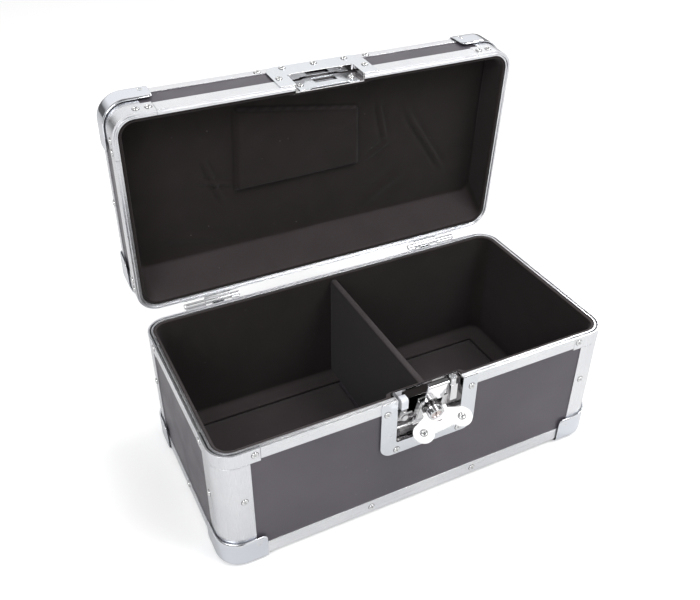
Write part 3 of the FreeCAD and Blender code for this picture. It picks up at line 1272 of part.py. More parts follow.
hinge_spots_low = []
hinge_spots_high = []
leaf_back = plain(leaf_face + leaf)
for side in (-1, 1):
    for share in LEAF_RIVET_SHARES:
        x = side * (hinge_left.number + hinge_end.number * share)
        hinge_spots_low.append((FreeCAD.Vector(x, leaf_back, -plain(size("leaf_rivet_rise"))), BACKWARD))
        hinge_spots_high.append((FreeCAD.Vector(x, leaf_back, plain(size("leaf_rivet_rise"))), BACKWARD))
add_shape("hinge_body_rivets", rivets(hinge_spots_low), HINGE)
add_shape("hinge_lid_rivets", rivets(hinge_spots_high), OPEN)

handle_spots = []
for side_x in (-1, 1):
    for side_y in (-1, 1):
        handle_spots.append((FreeCAD.Vector(side_x * plain(size("handle_rivet_x")),
                                            plain(lid_middle) + side_y * plain(size("handle_rivet_y")),
                                            plain(flange_high)), UP))
add_shape("handle_rivets", rivets(handle_spots), OPEN)

doc.recompute()
for item in doc.Objects:
    if "Invalid" in item.State or "Error" in item.State:
        raise ValueError(item.Name + " did not build")
os.makedirs("parts", exist_ok=True)
for node in NODES:
    shape = node.Shape
    if shape.isNull() or not shape.isValid() or not shape.Solids:
        raise ValueError(node.Label + " has no valid solid")
    shape.exportStep("parts/%s.step" % node.Label)
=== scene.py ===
# %% [markdown]
# # A record carrying case
# The case is an aluminium framed box for small records. Its boards are covered in dark laminate,
# every edge is wrapped in brushed metal, the corners wear bright pressed caps, and the inside is
# lined with dark napped cloth. The CAD frame already holds every hard part in its right place, so
# this lesson loads it, rounds its edges, gives each part a finish, and models the soft lining anew.

# %% Load the frame
import bpy
import bmesh
import json
import math
import numpy as np
from mathutils import Matrix, Vector, noise

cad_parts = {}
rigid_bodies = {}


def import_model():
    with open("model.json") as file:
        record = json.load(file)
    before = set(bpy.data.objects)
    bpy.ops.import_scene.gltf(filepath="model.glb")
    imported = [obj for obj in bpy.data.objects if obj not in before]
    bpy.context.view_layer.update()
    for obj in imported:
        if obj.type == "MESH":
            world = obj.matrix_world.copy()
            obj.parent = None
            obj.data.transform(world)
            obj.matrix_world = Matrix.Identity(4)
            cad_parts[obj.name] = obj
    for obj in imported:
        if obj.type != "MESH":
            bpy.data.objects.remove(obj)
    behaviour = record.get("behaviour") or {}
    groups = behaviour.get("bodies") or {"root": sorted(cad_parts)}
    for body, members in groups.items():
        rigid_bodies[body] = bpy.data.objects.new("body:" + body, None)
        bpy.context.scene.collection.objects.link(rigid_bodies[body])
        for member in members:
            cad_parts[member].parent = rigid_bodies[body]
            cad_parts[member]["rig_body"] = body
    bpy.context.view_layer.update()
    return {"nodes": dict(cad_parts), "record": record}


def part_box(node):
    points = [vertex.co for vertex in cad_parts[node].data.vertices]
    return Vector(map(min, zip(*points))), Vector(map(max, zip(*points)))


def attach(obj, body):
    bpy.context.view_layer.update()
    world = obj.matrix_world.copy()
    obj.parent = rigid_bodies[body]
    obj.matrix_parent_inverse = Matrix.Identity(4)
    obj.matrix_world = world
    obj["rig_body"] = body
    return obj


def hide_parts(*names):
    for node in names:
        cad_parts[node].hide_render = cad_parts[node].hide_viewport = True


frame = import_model()
scene = bpy.context.scene
MM = 0.001

# %% [markdown]
# A photograph is matched by putting the camera where the photographer stood. The place and the three
# axes below come from fitting a pinhole camera to the corners of the case. The lens follows from the
# same fit, so no shift or guesswork is left.

# %% Camera
CAMERA_PLACE = Vector((-0.3515, -0.6380, 0.7002))
CAMERA_RIGHT = Vector((0.8931, -0.4499, 0.0077))
CAMERA_BACK = Vector((-0.3705, -0.7255, 0.5800))
CAMERA_LENS = 42.11
SENSOR_WIDTH = 36.0
NEAR_CLIP = 0.01

camera_data = bpy.data.cameras.new("camera")
camera_data.lens = CAMERA_LENS
camera_data.sensor_width = SENSOR_WIDTH
camera_data.clip_start = NEAR_CLIP
camera = bpy.data.objects.new("camera", camera_data)
scene.collection.objects.link(camera)
back = CAMERA_BACK.normalized()
right = (CAMERA_RIGHT - CAMERA_RIGHT.dot(back) * back).normalized()
up = back.cross(right)
camera.matrix_world = Matrix((
    (right.x, up.x, back.x, CAMERA_PLACE.x),
    (right.y, up.y, back.y, CAMERA_PLACE.y),
    (right.z, up.z, back.z, CAMERA_PLACE.z),
    (0, 0, 0, 1)))
scene.camera = camera
scene.view_settings.view_transform = "Standard"
print("camera at", [round(v, 3) for v in camera.location], "lens", camera_data.lens)

# %% [markdown]
# Light and finishes are all trees of shader nodes. A few helpers keep them readable: one feeds an
# input with a value or a link, one adds a node with everything it is given, and two make what comes
# back all the time, which is noise and a value carried from one range to another.

# %% Helpers for shader trees


def put(tree, value, socket):
    """Gives an input a number, vector or colour, or links it to an output."""
    if isinstance(value, bpy.types.NodeSocket):
        tree.links.new(value, socket)
    else:
        socket.default_value = value


def add(tree, kind, inputs=None, **settings):
    """Adds a node, makes its settings, and feeds its inputs by name or number."""
    node = tree.nodes.new("ShaderNode" + kind)
    for name, value in settings.items():
        setattr(node, name, value)
    for key, value in (inputs or {}).items():
        put(tree, value, node.inputs[key])
    return node


def mapped(tree, value, start, end, low=0.0, high=1.0, **settings):
    """A value carried from one range to another."""
    limits = {"Value": value, "From Min": start, "From Max": end, "To Min": low, "To Max": high}
    return add(tree, "MapRange", limits, **settings).outputs[0]


def clouds(tree, **values):
    """Noise in object coordinates."""
    where = add(tree, "TexCoord").outputs["Object"]
    return add(tree, "TexNoise", {"Vector": where, **values}).outputs["Fac"]


print("helpers ready")

# %% [markdown]
# Bright metal shows its surroundings more than itself. A plain white studio would turn it into white
# paper. The world is therefore white to the camera, shades from white overhead to grey low down for
# plain light, and shows soft light and dark bands to reflections, as a room with windows would.

# %% World
WORLD_STRENGTH = 0.72
LOW_GREY = 0.3
LOW_BLUE = LOW_GREY * 1.04
WHITE_FROM = 0.62
WHITE = (1, 1, 1, 1)
BAND_SCALE = 1.7
BAND_START, BAND_END = 0.42, 0.58
BAND_DARK, BAND_LIGHT = 0.12, 0.98

world = bpy.data.worlds.new("studio")
scene.world = world
world.use_nodes = True
tree = world.node_tree
tree.nodes.clear()
direction = add(tree, "TexCoord").outputs["Generated"]
upward = add(tree, "SeparateXYZ", {0: direction}).outputs["Z"]
fade = add(tree, "ValToRGB", {0: upward})
low_end, high_end = fade.color_ramp.elements
low_end.position = 0.0
low_end.color = (LOW_GREY, LOW_GREY, LOW_BLUE, 1)
high_end.position = WHITE_FROM
high_end.color = WHITE
plain_light = add(tree, "Background", {"Color": fade.outputs[0], "Strength": WORLD_STRENGTH})
bands = add(tree, "TexNoise", {"Vector": direction, "Scale": BAND_SCALE, "Detail": 1.0})
contrast = mapped(tree, bands.outputs["Fac"], BAND_START, BAND_END, BAND_DARK, BAND_LIGHT)
banded = add(tree, "Background", {"Color": contrast})
camera_white = add(tree, "Background", {"Color": WHITE})
path = add(tree, "LightPath")
for_rays = add(tree, "MixShader", {
    0: path.outputs["Is Glossy Ray"], 1: plain_light.outputs[0], 2: banded.outputs[0]})
for_all = add(tree, "MixShader", {
    0: path.outputs["Is Camera Ray"], 1: for_rays.outputs[0], 2: camera_white.outputs[0]})
add(tree, "OutputWorld", {0: for_all.outputs[0]})
print("world nodes:", len(tree.nodes))

# %% [markdown]
# The floor is a matt white sheet. A little glow that only the camera sees lifts it to a clean white,
# and soft patches that only reflections see keep the metal above it from looking empty.

# %% Floor
FLOOR_HALF = 3.0
FLOOR_ROUGHNESS, FLOOR_SHINE = 0.9, 0.1
FLOOR_LIFT = 0.2
FLOOR_TONE = (0.93, 0.93, 0.93, 1)
PATCH_SCALE = 3.2
PATCH_START, PATCH_END = 0.35, 0.65
PATCH_DARK, PATCH_LIGHT = 0.68, 0.9

floor_mesh = bpy.data.meshes.new("studio_floor")
floor_mesh.from_pydata(
    [(x * FLOOR_HALF, y * FLOOR_HALF, 0) for x, y in ((-1, -1), (1, -1), (1, 1), (-1, 1))],
    [], [(0, 1, 2, 3)])
floor = bpy.data.objects.new("studio_floor", floor_mesh)
scene.collection.objects.link(floor)
paint = bpy.data.materials.new("studio_floor_paint")
paint.use_nodes = True
floor_mesh.materials.append(paint)
tree = paint.node_tree
shader = tree.nodes["Principled BSDF"]
ray = add(tree, "LightPath")
lift = add(tree, "Math", {0: ray.outputs["Is Camera Ray"], 1: FLOOR_LIFT}, operation="MULTIPLY")
patches = add(tree, "TexNoise", {"Scale": PATCH_SCALE})
patch_tone = mapped(tree, patches.outputs["Fac"], PATCH_START, PATCH_END, PATCH_DARK, PATCH_LIGHT)
floor_tone = add(tree, "Mix", {
    0: ray.outputs["Is Glossy Ray"], 6: FLOOR_TONE, 7: patch_tone}, data_type="RGBA")
put(tree, floor_tone.outputs[2], shader.inputs["Base Color"])
put(tree, FLOOR_ROUGHNESS, shader.inputs["Roughness"])
put(tree, FLOOR_SHINE, shader.inputs["Specular IOR Level"])
put(tree, WHITE, shader.inputs["Emission Color"])
put(tree, lift.outputs[0], shader.inputs["Emission Strength"])
print("floor nodes:", len(tree.nodes))

# %% [markdown]
# Three lamps shape the light: a key from the front right, a weaker fill from the left, and a small
# one from behind that draws the shadow. Their own reflections are weak, or they would burn out.

# %% Lamps
LAMP_SPECULAR = 0.2
LAMPS = (
    ("key_lamp", (0.9, -1.1, 2.0), (0, 0, 0.1), 1.0, 22),
    ("fill_lamp", (-1.3, -0.9, 1.3), (0, 0, 0.15), 1.2, 13),
    ("shadow_lamp", (1.3, 0.7, 1.7), (0, 0, 0.1), 0.4, 12))

for name, place, target, size, power in LAMPS:
    lamp_data = bpy.data.lights.new(name, "AREA")
    lamp_data.shape = "DISK"
    lamp_data.size = size
    lamp_data.energy = power
    lamp_data.specular_factor = LAMP_SPECULAR
    lamp = bpy.data.objects.new(name, lamp_data)
    scene.collection.objects.link(lamp)
    lamp.location = place
    lamp.rotation_euler = (Vector(target) - Vector(place)).to_track_quat("-Z", "Y").to_euler()
print("lamps:", len(LAMPS))

# %% [markdown]
# Finishes share a few effects: brushed lines, handling smudges, lint and worn edges. Each is built
# once as a node group that puts out a mask or a height, and every material places it with its own
# values. The groups read object coordinates, which are metres here, so a scale is simply the number
# of features in a metre.

# %% Helpers for node groups


def new_group(title, inputs, outputs):
    """Makes a shader group and returns its tree, what it is given and what it makes."""
    group = bpy.data.node_groups.new(title, "ShaderNodeTree")
    for name, kind, value in inputs:
        socket = group.interface.new_socket(name, in_out="INPUT", socket_type="NodeSocket" + kind)
        socket.default_value = value
    for name in outputs:
        group.interface.new_socket(name, in_out="OUTPUT", socket_type="NodeSocketFloat")
    return group, group.nodes.new("NodeGroupInput").outputs, group.nodes.new("NodeGroupOutput").inputs


def times(group, first, second, clamp=False):
    """The product of two values."""
    return add(group, "Math", {0: first, 1: second}, operation="MULTIPLY", use_clamp=clamp).outputs[0]


print("group helpers ready")

# %% [markdown]
# Brushing leaves long fine lines. They are noise squeezed across the grain, with its contrast scaled
# round the middle.

# %% Brushed lines
BRUSHED, given, made = new_group(
    "brushed_lines", [("Lines", "Vector", (40, 4000, 4000)), ("Contrast", "Float", 1.0)], ["Value"])
where = add(BRUSHED, "TexCoord").outputs["Object"]
squeezed = add(BRUSHED, "VectorMath", {0: where, 1: given["Lines"]}, operation="MULTIPLY")
fine = add(BRUSHED, "TexNoise", {"Vector": squeezed.outputs[0], "Scale": 1.0, "Detail": 3.0})
centred = add(BRUSHED, "Math", {0: fine.outputs["Fac"], 1: 0.5}, operation="SUBTRACT")
scaled = times(BRUSHED, centred.outputs[0], given["Contrast"])
back_up = add(BRUSHED, "Math", {0: scaled, 1: 0.5}, operation="ADD")
put(BRUSHED, back_up.outputs[0], made["Value"])
print("brushed lines nodes:", len(BRUSHED.nodes))

# %% [markdown]
# Hands and cloths leave soft clouds, which are noise with its middle range spread out.

# %% Handling smudges
SMUDGES, given, made = new_group(
    "handling_smudges",
    [("Scale", "Float", 30.0), ("Low", "Float", 0.0), ("High", "Float", 1.0)], ["Value"])
cloud = clouds(SMUDGES, Scale=given["Scale"], Detail=4.0, Distortion=0.4)
put(SMUDGES, mapped(SMUDGES, cloud, 0.32, 0.68, given["Low"], given["High"]), made["Value"])
print("smudge nodes:", len(SMUDGES.nodes))

# %% [markdown]
# Lint is sparse small specks. A fine cell pattern gives each cell a number, and only the few cells
# whose number comes up carry a speck.

# %% Lint
SPECK_SIZE = 0.16

LINT, given, made = new_group(
    "lint_specks", [("Scale", "Float", 260.0), ("Share", "Float", 0.03)], ["Mask"])
where = add(LINT, "TexCoord").outputs["Object"]
cells = add(LINT, "TexVoronoi", {"Vector": where, "Scale": given["Scale"]})
near = add(LINT, "Math", {0: cells.outputs["Distance"], 1: SPECK_SIZE}, operation="LESS_THAN")
number = add(LINT, "SeparateColor", {0: cells.outputs["Color"]})
drawn = add(LINT, "Math", {0: number.outputs[0], 1: given["Share"]}, operation="LESS_THAN")
put(LINT, times(LINT, near.outputs[0], drawn.outputs[0]), made["Mask"])
print("lint nodes:", len(LINT.nodes))

# %% [markdown]
# Plating and paint wear first on convex edges, and hollow ones are painted darker, as shade. The
# Geometry node gives both as pointiness. Noise breaks up the worn edges.

# %% Worn edges and painted shade in hollows


def pointy(group, start, end):
    """How far the pointiness has gone from one value to another."""
    shape = add(group, "NewGeometry").outputs["Pointiness"]
    return mapped(group, shape, start, end)


WORN, given, made = new_group("worn_edges", [("Amount", "Float", 0.5)], ["Mask"])
ridge = times(WORN, pointy(WORN, 0.52, 0.62), clouds(WORN, Scale=180.0))
put(WORN, times(WORN, ridge, given["Amount"], clamp=True), made["Mask"])

# Hollows are painted darker, as the shade that falls in them.
PAINTED_HOLLOW_SHADE, given, made = new_group("painted_shade_in_hollows", [("Amount", "Float", 1.0)], ["Mask"])
hollow = times(PAINTED_HOLLOW_SHADE, pointy(PAINTED_HOLLOW_SHADE, 0.485, 0.41), given["Amount"], clamp=True)
put(PAINTED_HOLLOW_SHADE, hollow, made["Mask"])
print("worn edge and grime nodes:", len(WORN.nodes), len(PAINTED_HOLLOW_SHADE.nodes))

# %% [markdown]
# Napped cloth is short fuzz over slow shading where the pile lies one way or the other.

# %% Nap
FUZZ_SHARE, STROKE_SHARE = 0.45, 0.55

NAP, given, made = new_group("napped_cloth", [("Fuzz", "Float", 2600.0)], ["Height", "Shade"])
fuzz = clouds(NAP, Scale=given["Fuzz"], Detail=5.0, Roughness=0.65)
strokes = clouds(NAP, Scale=22.0, Detail=3.0, Distortion=1.2)
slow = times(NAP, strokes, STROKE_SHARE)
shade = add(NAP, "Math", {0: fuzz, 1: FUZZ_SHARE, 2: slow}, operation="MULTIPLY_ADD")
put(NAP, fuzz, made["Height"])
put(NAP, shade.outputs[0], made["Shade"])
print("nap nodes:", len(NAP.nodes))

# %% [markdown]
# Faces that look up are painted paler, as pale dust in the nap and as light from above would make
# them, a little more here and less there.

# %% Settled dust and painted top light
DUST_AND_TOP_LIGHT, given, made = new_group("dust_and_painted_top_light", [("Amount", "Float", 1.0)], ["Mask"])
parts = add(DUST_AND_TOP_LIGHT, "SeparateXYZ", {0: add(DUST_AND_TOP_LIGHT, "TexCoord").outputs["Normal"]})
level = mapped(DUST_AND_TOP_LIGHT, parts.outputs["Z"], 0.35, 0.95, interpolation_type="SMOOTHSTEP")
uneven = mapped(DUST_AND_TOP_LIGHT, clouds(DUST_AND_TOP_LIGHT, Scale=28.0, Detail=4.0), 0, 1, 0.6, 1.2)
paler_on_top = times(DUST_AND_TOP_LIGHT, times(DUST_AND_TOP_LIGHT, level, uneven), given["Amount"], clamp=True)
put(DUST_AND_TOP_LIGHT, paler_on_top, made["Mask"])
print("groups:", [g.name for g in bpy.data.node_groups])

# %% [markdown]
# A material is a Principled BSDF with the groups feeding it. Numbers that are the same all over are
# typed on the shader's own sockets, and only what changes over the surface comes through nodes.

# %% Material helper


class Finish:
    """One material under construction."""

    def __init__(self, name, colour, rough, metallic=0.0, **constants):
        """Makes the material with values that are the same all over."""
        self.material = bpy.data.materials.new(name)
        self.material.use_nodes = True
        self.tree = self.material.node_tree
        self.shader = self.tree.nodes["Principled BSDF"]
        self.feed("Base Color", (*colour, 1))
        self.feed("Roughness", rough)
        self.feed("Metallic", metallic)
        for socket, value in constants.items():
            self.feed(socket.replace("_", " "), value)

    def feed(self, socket, value):
        """Gives one input of the shader a value or a link."""
        put(self.tree, value, self.shader.inputs[socket])

    def place(self, group, output, **values):
        """Places a group with its own values and returns one of its outputs."""
        return add(self.tree, "Group", values, node_tree=group).outputs[output]

    def over(self, base, mask, colour):
        """Lays a second colour over the base where a mask is on."""
        mixed = add(self.tree, "Mix", {0: mask, 6: base, 7: (*colour, 1)}, data_type="RGBA").outputs[2]
        self.feed("Base Color", mixed)
        return mixed

    def colours(self, mask, low, high):
        """Base Color runs between two colours as a mask goes from zero to one."""
        return self.over((*low, 1), mask, high)

    def roughness(self, mask, low, high):
        """Roughness runs between two values as a mask goes from zero to one."""
        self.feed("Roughness", mapped(self.tree, mask, 0, 1, low, high))

    def bump(self, height, strength, depth):
        """Bends the normals by a height of some depth in metres."""
        relief = add(self.tree, "Bump", {"Strength": strength, "Distance": depth, "Height": height})
        self.feed("Normal", relief.outputs[0])


print("material helper ready")

# %% [markdown]
# The boards are covered in dark laminate with a slight violet tone. Its fine grain is the brushed
# group with the same number of lines in all directions.

# %% Laminate
laminate = Finish("dark_laminate", (0.07, 0.06, 0.075), 0.4)
cloud = laminate.place(SMUDGES, "Value", Scale=9.0)
tint = laminate.colours(cloud, (0.066, 0.058, 0.072), (0.088, 0.078, 0.094))
specks = laminate.place(LINT, "Mask", Scale=330.0, Share=0.012)
laminate.over(tint, specks, (0.22, 0.21, 0.22))
laminate.roughness(laminate.place(SMUDGES, "Value", Scale=26.0), 0.34, 0.46)
laminate.bump(laminate.place(BRUSHED, "Value", Lines=(1500, 1500, 1500)), 0.12, 0.0004)
print("laminate done")

# %% [markdown]
# The sections are drawn aluminium with fine lines along their length. The lines only change the
# roughness and the bump a little, which is enough to break a reflection into a soft streak.

# %% Brushed aluminium
LONG, CROSS = 18, 3200


def aluminium(name, lines):
    """Brushed metal with so many lines in a metre along each axis."""
    metal = Finish(name, (0.88, 0.885, 0.895), 0.3, 1.0)
    streaks = metal.place(BRUSHED, "Value", Lines=lines, Contrast=1.6)
    metal.roughness(streaks, 0.2, 0.42)
    cloud = metal.place(SMUDGES, "Value", Scale=14.0)
    tone = metal.colours(cloud, (0.82, 0.83, 0.865), (0.91, 0.915, 0.935))
    tone = metal.over(tone, metal.place(WORN, "Mask", Amount=0.7), (0.97, 0.97, 0.97))
    # Hollows and joints are painted near black, as shade.
    metal.over(tone, metal.place(PAINTED_HOLLOW_SHADE, "Mask", Amount=0.9), (0.10, 0.10, 0.11))
    metal.bump(streaks, 0.08, 0.0003)
    return metal.material


along_x = aluminium("aluminium_lengthwise", (LONG, CROSS, CROSS))
along_y = aluminium("aluminium_crosswise", (CROSS, LONG, CROSS))
along_z = aluminium("aluminium_upright", (CROSS, CROSS, LONG))
print("aluminium done")

# %% [markdown]
# Plated steel is almost a mirror. What makes it look real is what disturbs the mirror: faint
# smudges in the roughness, hairline scratches, and edges that are a touch brighter.

# %% Bright metals
DULL_SHARE = 0.95


def plated(name, colour, low, high, metallic=1.0):
    """Plating with a roughness between low and high."""
    metal = Finish(name, colour, low, metallic)
    metal.roughness(metal.place(SMUDGES, "Value", Scale=42.0), low, high)
    cloud = metal.place(SMUDGES, "Value", Scale=11.0)
    tone = metal.colours(cloud, [c * DULL_SHARE for c in colour], colour)
    tone = metal.over(tone, metal.place(WORN, "Mask", Amount=0.8), (0.98, 0.98, 0.98))
    # Hollows are painted near black, as shade.
    metal.over(tone, metal.place(PAINTED_HOLLOW_SHADE, "Mask", Amount=0.8), (0.09, 0.09, 0.095))
    metal.bump(metal.place(BRUSHED, "Value", Lines=(900, 900, 90), Contrast=1.0), 0.05, 0.0002)
    return metal.material


cap_chrome = plated("cap_chrome", (0.80, 0.825, 0.88), 0.07, 0.16)
dish_plate = plated("dish_plate", (0.80, 0.83, 0.875), 0.16, 0.28)
# The dish pockets are painted darker, as shade in the recess.
pocket_chrome_painted_shade = plated("pocket_chrome_painted_shade", (0.46, 0.45, 0.455), 0.03, 0.08)
# The wing is near white and not metallic, which paints in the bright reflection that the plated wing shows.
wing_painted_bright = plated("wing_painted_bright", (0.97, 0.97, 0.975), 0.25, 0.36, metallic=0.0)
latch_plate = plated("latch_plate", (0.84, 0.84, 0.85), 0.04, 0.12)
groove_grey = plated("groove_grey", (0.13, 0.13, 0.14), 0.3, 0.5)
collar_steel = plated("collar_steel", (0.07, 0.065, 0.065), 0.12, 0.25)
rivet_plate = plated("rivet_plate", (0.86, 0.865, 0.87), 0.12, 0.22)
pin_steel = plated("pin_steel", (0.62, 0.62, 0.63), 0.22, 0.36)
plug_brass = plated("plug_brass", (0.86, 0.74, 0.71), 0.2, 0.32, metallic=0.8)
print("bright metals done")

# %% [markdown]
# The lining is a foam backed napped cloth. It is nearly black, a little warm, and its fuzz catches
# light at grazing angles, which the sheen of the shader gives. The shade group varies it as the pile
# lies, and a few bits of lint keep it from looking like paint.

# %% Cloth
DUST_AND_TOP_LIGHT_COLOUR = (0.066, 0.055, 0.057)
LINT_COLOUR = (0.2, 0.19, 0.19)
FOLD_SHADOW = (0.004, 0.0035, 0.0035)


def cloth(name, dark, light, share):
    """Napped cloth between two tones, with lint in some share of the cells."""
    fabric = Finish(name, dark, 0.95, 0.0, Sheen_Weight=0.1, Sheen_Roughness=0.5, Specular_IOR_Level=0.15)
    tone = fabric.colours(fabric.place(NAP, "Shade"), dark, light)
    # Faces that look up are painted paler, as dust and as light from above.
    tone = fabric.over(tone, fabric.place(DUST_AND_TOP_LIGHT, "Mask", Amount=0.8), DUST_AND_TOP_LIGHT_COLOUR)
    tone = fabric.over(tone, fabric.place(LINT, "Mask", Scale=420.0, Share=share), LINT_COLOUR)
    # Folds and hollows in the cloth are painted darker, as shade.
    fabric.over(tone, fabric.place(PAINTED_HOLLOW_SHADE, "Mask", Amount=0.85), FOLD_SHADOW)
    fabric.bump(fabric.place(NAP, "Height"), 0.55, 0.0006)
    return fabric.material


wall_cloth = cloth("wall_cloth", (0.0115, 0.0085, 0.0085), (0.029, 0.0228, 0.0228), 0.004)
# The floor pads take the lining cloth in a lighter tone, which paints the floor as more lit than the walls.
floor_cloth_painted_lit = cloth("floor_cloth_painted_lit", (0.020, 0.017, 0.018), (0.044, 0.038, 0.040), 0.012)
divider_cloth = cloth("divider_cloth", (0.014, 0.0115, 0.0118), (0.032, 0.027, 0.0275), 0.006)
print("cloth done")

# %% [markdown]
# The feet and the grip are moulded rubber with a fine grain. The guide block beside the latch is a
# pale plastic that has gone a little uneven.

# %% Rubber and plastic
rubber = Finish("black_rubber", (0.018, 0.018, 0.018), 0.6, 0.0)
rubber.roughness(rubber.place(SMUDGES, "Value", Scale=60.0), 0.5, 0.72)
rubber.colours(rubber.place(SMUDGES, "Value", Scale=25.0), (0.014, 0.014, 0.014), (0.03, 0.03, 0.03))
rubber.bump(rubber.place(BRUSHED, "Value", Lines=(2200, 2200, 2200)), 0.25, 0.0003)

plastic = Finish("pale_plastic", (0.74, 0.77, 0.82), 0.45, 0.0)
plastic.colours(plastic.place(SMUDGES, "Value", Scale=80.0), (0.70, 0.73, 0.79), (0.80, 0.82, 0.86))
plastic.roughness(plastic.place(SMUDGES, "Value", Scale=50.0), 0.38, 0.55)
print("rubber and plastic done")

# %% [markdown]
# CAD edges are mathematically sharp, and a sharp edge never catches the light. The metal parts and
# the plastic block are therefore copied, their flat faces are merged again, and a Bevel modifier
# rounds what is sharp by a few tenths of a millimetre. A copy rides with the body of its node and
# stands for it.

# %% Helpers for rounded copies
WELD = 1e-6
FLAT_ANGLE = math.radians(0.6)
SHARP_ANGLE = math.radians(32)
BEVEL_STEPS = 2


def link_piece(name, mesh, node_names, material):
    """Puts a mesh in the scene as a piece that stands for some nodes and rides with their body."""
    piece = bpy.data.objects.new(name, mesh)
    scene.collection.objects.link(piece)
    mesh.materials.clear()
    mesh.materials.append(material)
    first = node_names[0]
    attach(piece, frame["nodes"][first]["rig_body"])
    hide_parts(*node_names)
    return piece


def merged_mesh(node):
    """The node's mesh welded, with each flat face in one piece again, as plain lists."""
    work = bmesh.new()
    work.from_mesh(frame["nodes"][node].data)
    bmesh.ops.remove_doubles(work, verts=work.verts, dist=WELD)
    bmesh.ops.dissolve_limit(work, angle_limit=FLAT_ANGLE, verts=work.verts, edges=work.edges)
    work.verts.index_update()
    points = [tuple(v.co) for v in work.verts]
    faces = [[v.index for v in face.verts] for face in work.faces]
    work.free()
    return points, faces


def rounded(node, material, width):
    """A copy of a node with rounded edges, which stands for it."""
    points, faces = merged_mesh(node)
    mesh = bpy.data.meshes.new(node + "_edges")
    mesh.from_pydata(points, [], faces)
    mesh.shade_smooth()
    piece = link_piece(node + "_metalwork", mesh, [node], material)
    bevel = piece.modifiers.new("edges", "BEVEL")
    bevel.width = width
    bevel.segments = BEVEL_STEPS
    bevel.limit_method = "ANGLE"
    bevel.angle_limit = SHARP_ANGLE
    bevel.harden_normals = True


print("flat faces of the keeper:", len(merged_mesh("keeper")[1]))

# %% [markdown]
# Sections, plates and the small plug have fine edges. The dishes, the head, the wing, the post and
# the block have softer ones. A section takes the aluminium whose lines suit its direction.

# %% Rounded copies of the hard parts
FINE_EDGE = 0.25 * MM
SOFT_EDGE = 0.45 * MM
HARD_PARTS = (
    (along_x, FINE_EDGE, (
        "body_rim_front", "body_rim_back", "lid_rim_front", "lid_rim_back", "base_edge_angles",
        "lid_edge_angles")),
    (along_y, FINE_EDGE, ("body_rim_ends", "lid_rim_corners", "lid_corner_posts")),
    (along_z, FINE_EDGE, ("lid_rim_ends", "body_rim_corners", "corner_posts")),
    (dish_plate, SOFT_EDGE, ("latch_dish", "lid_dish", "handle_tray")),
    (dish_plate, FINE_EDGE, ("keeper",)),
    (latch_plate, FINE_EDGE, (
        "latch_arm", "draw_hook", "hinge_body_leaves", "hinge_lid_leaves", "handle_lugs")),
    (latch_plate, SOFT_EDGE, ("turning_head", "locating_peg")),
    (wing_painted_bright, SOFT_EDGE, ("butterfly_wing",)),
    (plastic.material, SOFT_EDGE, ("latch_guide_block",)),
    (plug_brass, FINE_EDGE, ("key_plug",)))

for finish, width, nodes in HARD_PARTS:
    for node in nodes:
        rounded(node, finish, width)
print("rounded copies:", sum(len(nodes) for finish, width, nodes in HARD_PARTS))

# %% [markdown]
# The lid is easiest to think of closed and measured from its hinge line. Its hinge joint gives the
# place of that line and how far the lid stands open, so one matrix carries lid points to where they
# belong.

# %% Lid coordinates
JOINTS = {row["name"]: row for row in frame["record"]["behaviour"]["joints"]}
HINGE = Vector(JOINTS["lid_hinge"]["pos_m"])
LID_ANGLE = math.radians(JOINTS["lid_hinge"]["range_deg"][1])
LID_PLACE = Matrix.Translation(HINGE) @ Matrix.Rotation(-LID_ANGLE, 4, "X")


def lid_box(node):
    """Lowest and highest corner of a lid node in lid coordinates."""
    back_again = LID_PLACE.inverted()
    points = np.array([back_again @ v.co for v in frame["nodes"][node].data.vertices])
    return Vector(points.min(axis=0)), Vector(points.max(axis=0))


print("lid hinge at", [round(v, 4) for v in HINGE], "open by", round(math.degrees(LID_ANGLE), 1))

# %% [markdown]
# Some finishes cover only a few faces of a piece. The washer behind the lock housing is dark steel,
# but it is turned in one piece with the housing. Its faces are found by their distance from the axis
# that the head turns on.

# %% Dark washer
WASHER_LEAST = 8.8 * MM
WASHER_MOST = 10.8 * MM


def metalwork(node, second_finish):
    """The rounded copy's mesh of a node, with a second finish added."""
    mesh = bpy.data.objects[node + "_metalwork"].data
    mesh.materials.append(second_finish)
    return mesh


head_axis = Vector(JOINTS["head_turn"]["axis"]).normalized()
head_place = Vector(JOINTS["head_turn"]["pos_m"])
head_mesh = metalwork("turning_head", collar_steel)
washer_faces = 0
for face in head_mesh.polygons:
    corners = [Vector(head_mesh.vertices[i].co) - head_place for i in face.vertices]
    reach = max((c - head_axis * c.dot(head_axis)).length for c in corners)
    if WASHER_LEAST < reach < WASHER_MOST:
        face.material_index = 1
        washer_faces += 1
print("washer faces:", washer_faces)

# %% [markdown]
# The pressed dishes are polished deeper down, where no hand reaches, and their pockets are painted
# darker there, as shade in the recess. Their pocket faces lie behind the flange, so the depth behind
# it tells them apart.

# %% Polished pockets with painted shade
BEHIND_FLANGE = 2.2 * MM

for node in ("latch_dish", "lid_dish"):
    dish = metalwork(node, pocket_chrome_painted_shade)
    to_flat = LID_PLACE.inverted() if node == "lid_dish" else Matrix.Identity(4)
    depths = [(to_flat @ Vector(face.center)).y for face in dish.polygons]
    flange = min(depths)
    behind = [d > flange + BEHIND_FLANGE for d in depths]
    for face, inside in zip(dish.polygons, behind):
        face.material_index = 1 if inside else 0
    print(node, "pocket faces:", sum(behind), "of", len(behind))

# %% [markdown]
# Dust and shadow fill the groove of the body rim, which runs round between two bright ridges. Its
# floor is what looks up and lies lower than the ridges.

# %% Groove floors
LOOKS_UP = 0.85
GROOVE_DEEPEST = 8 * MM
GROOVE_LEAST = 0.6 * MM

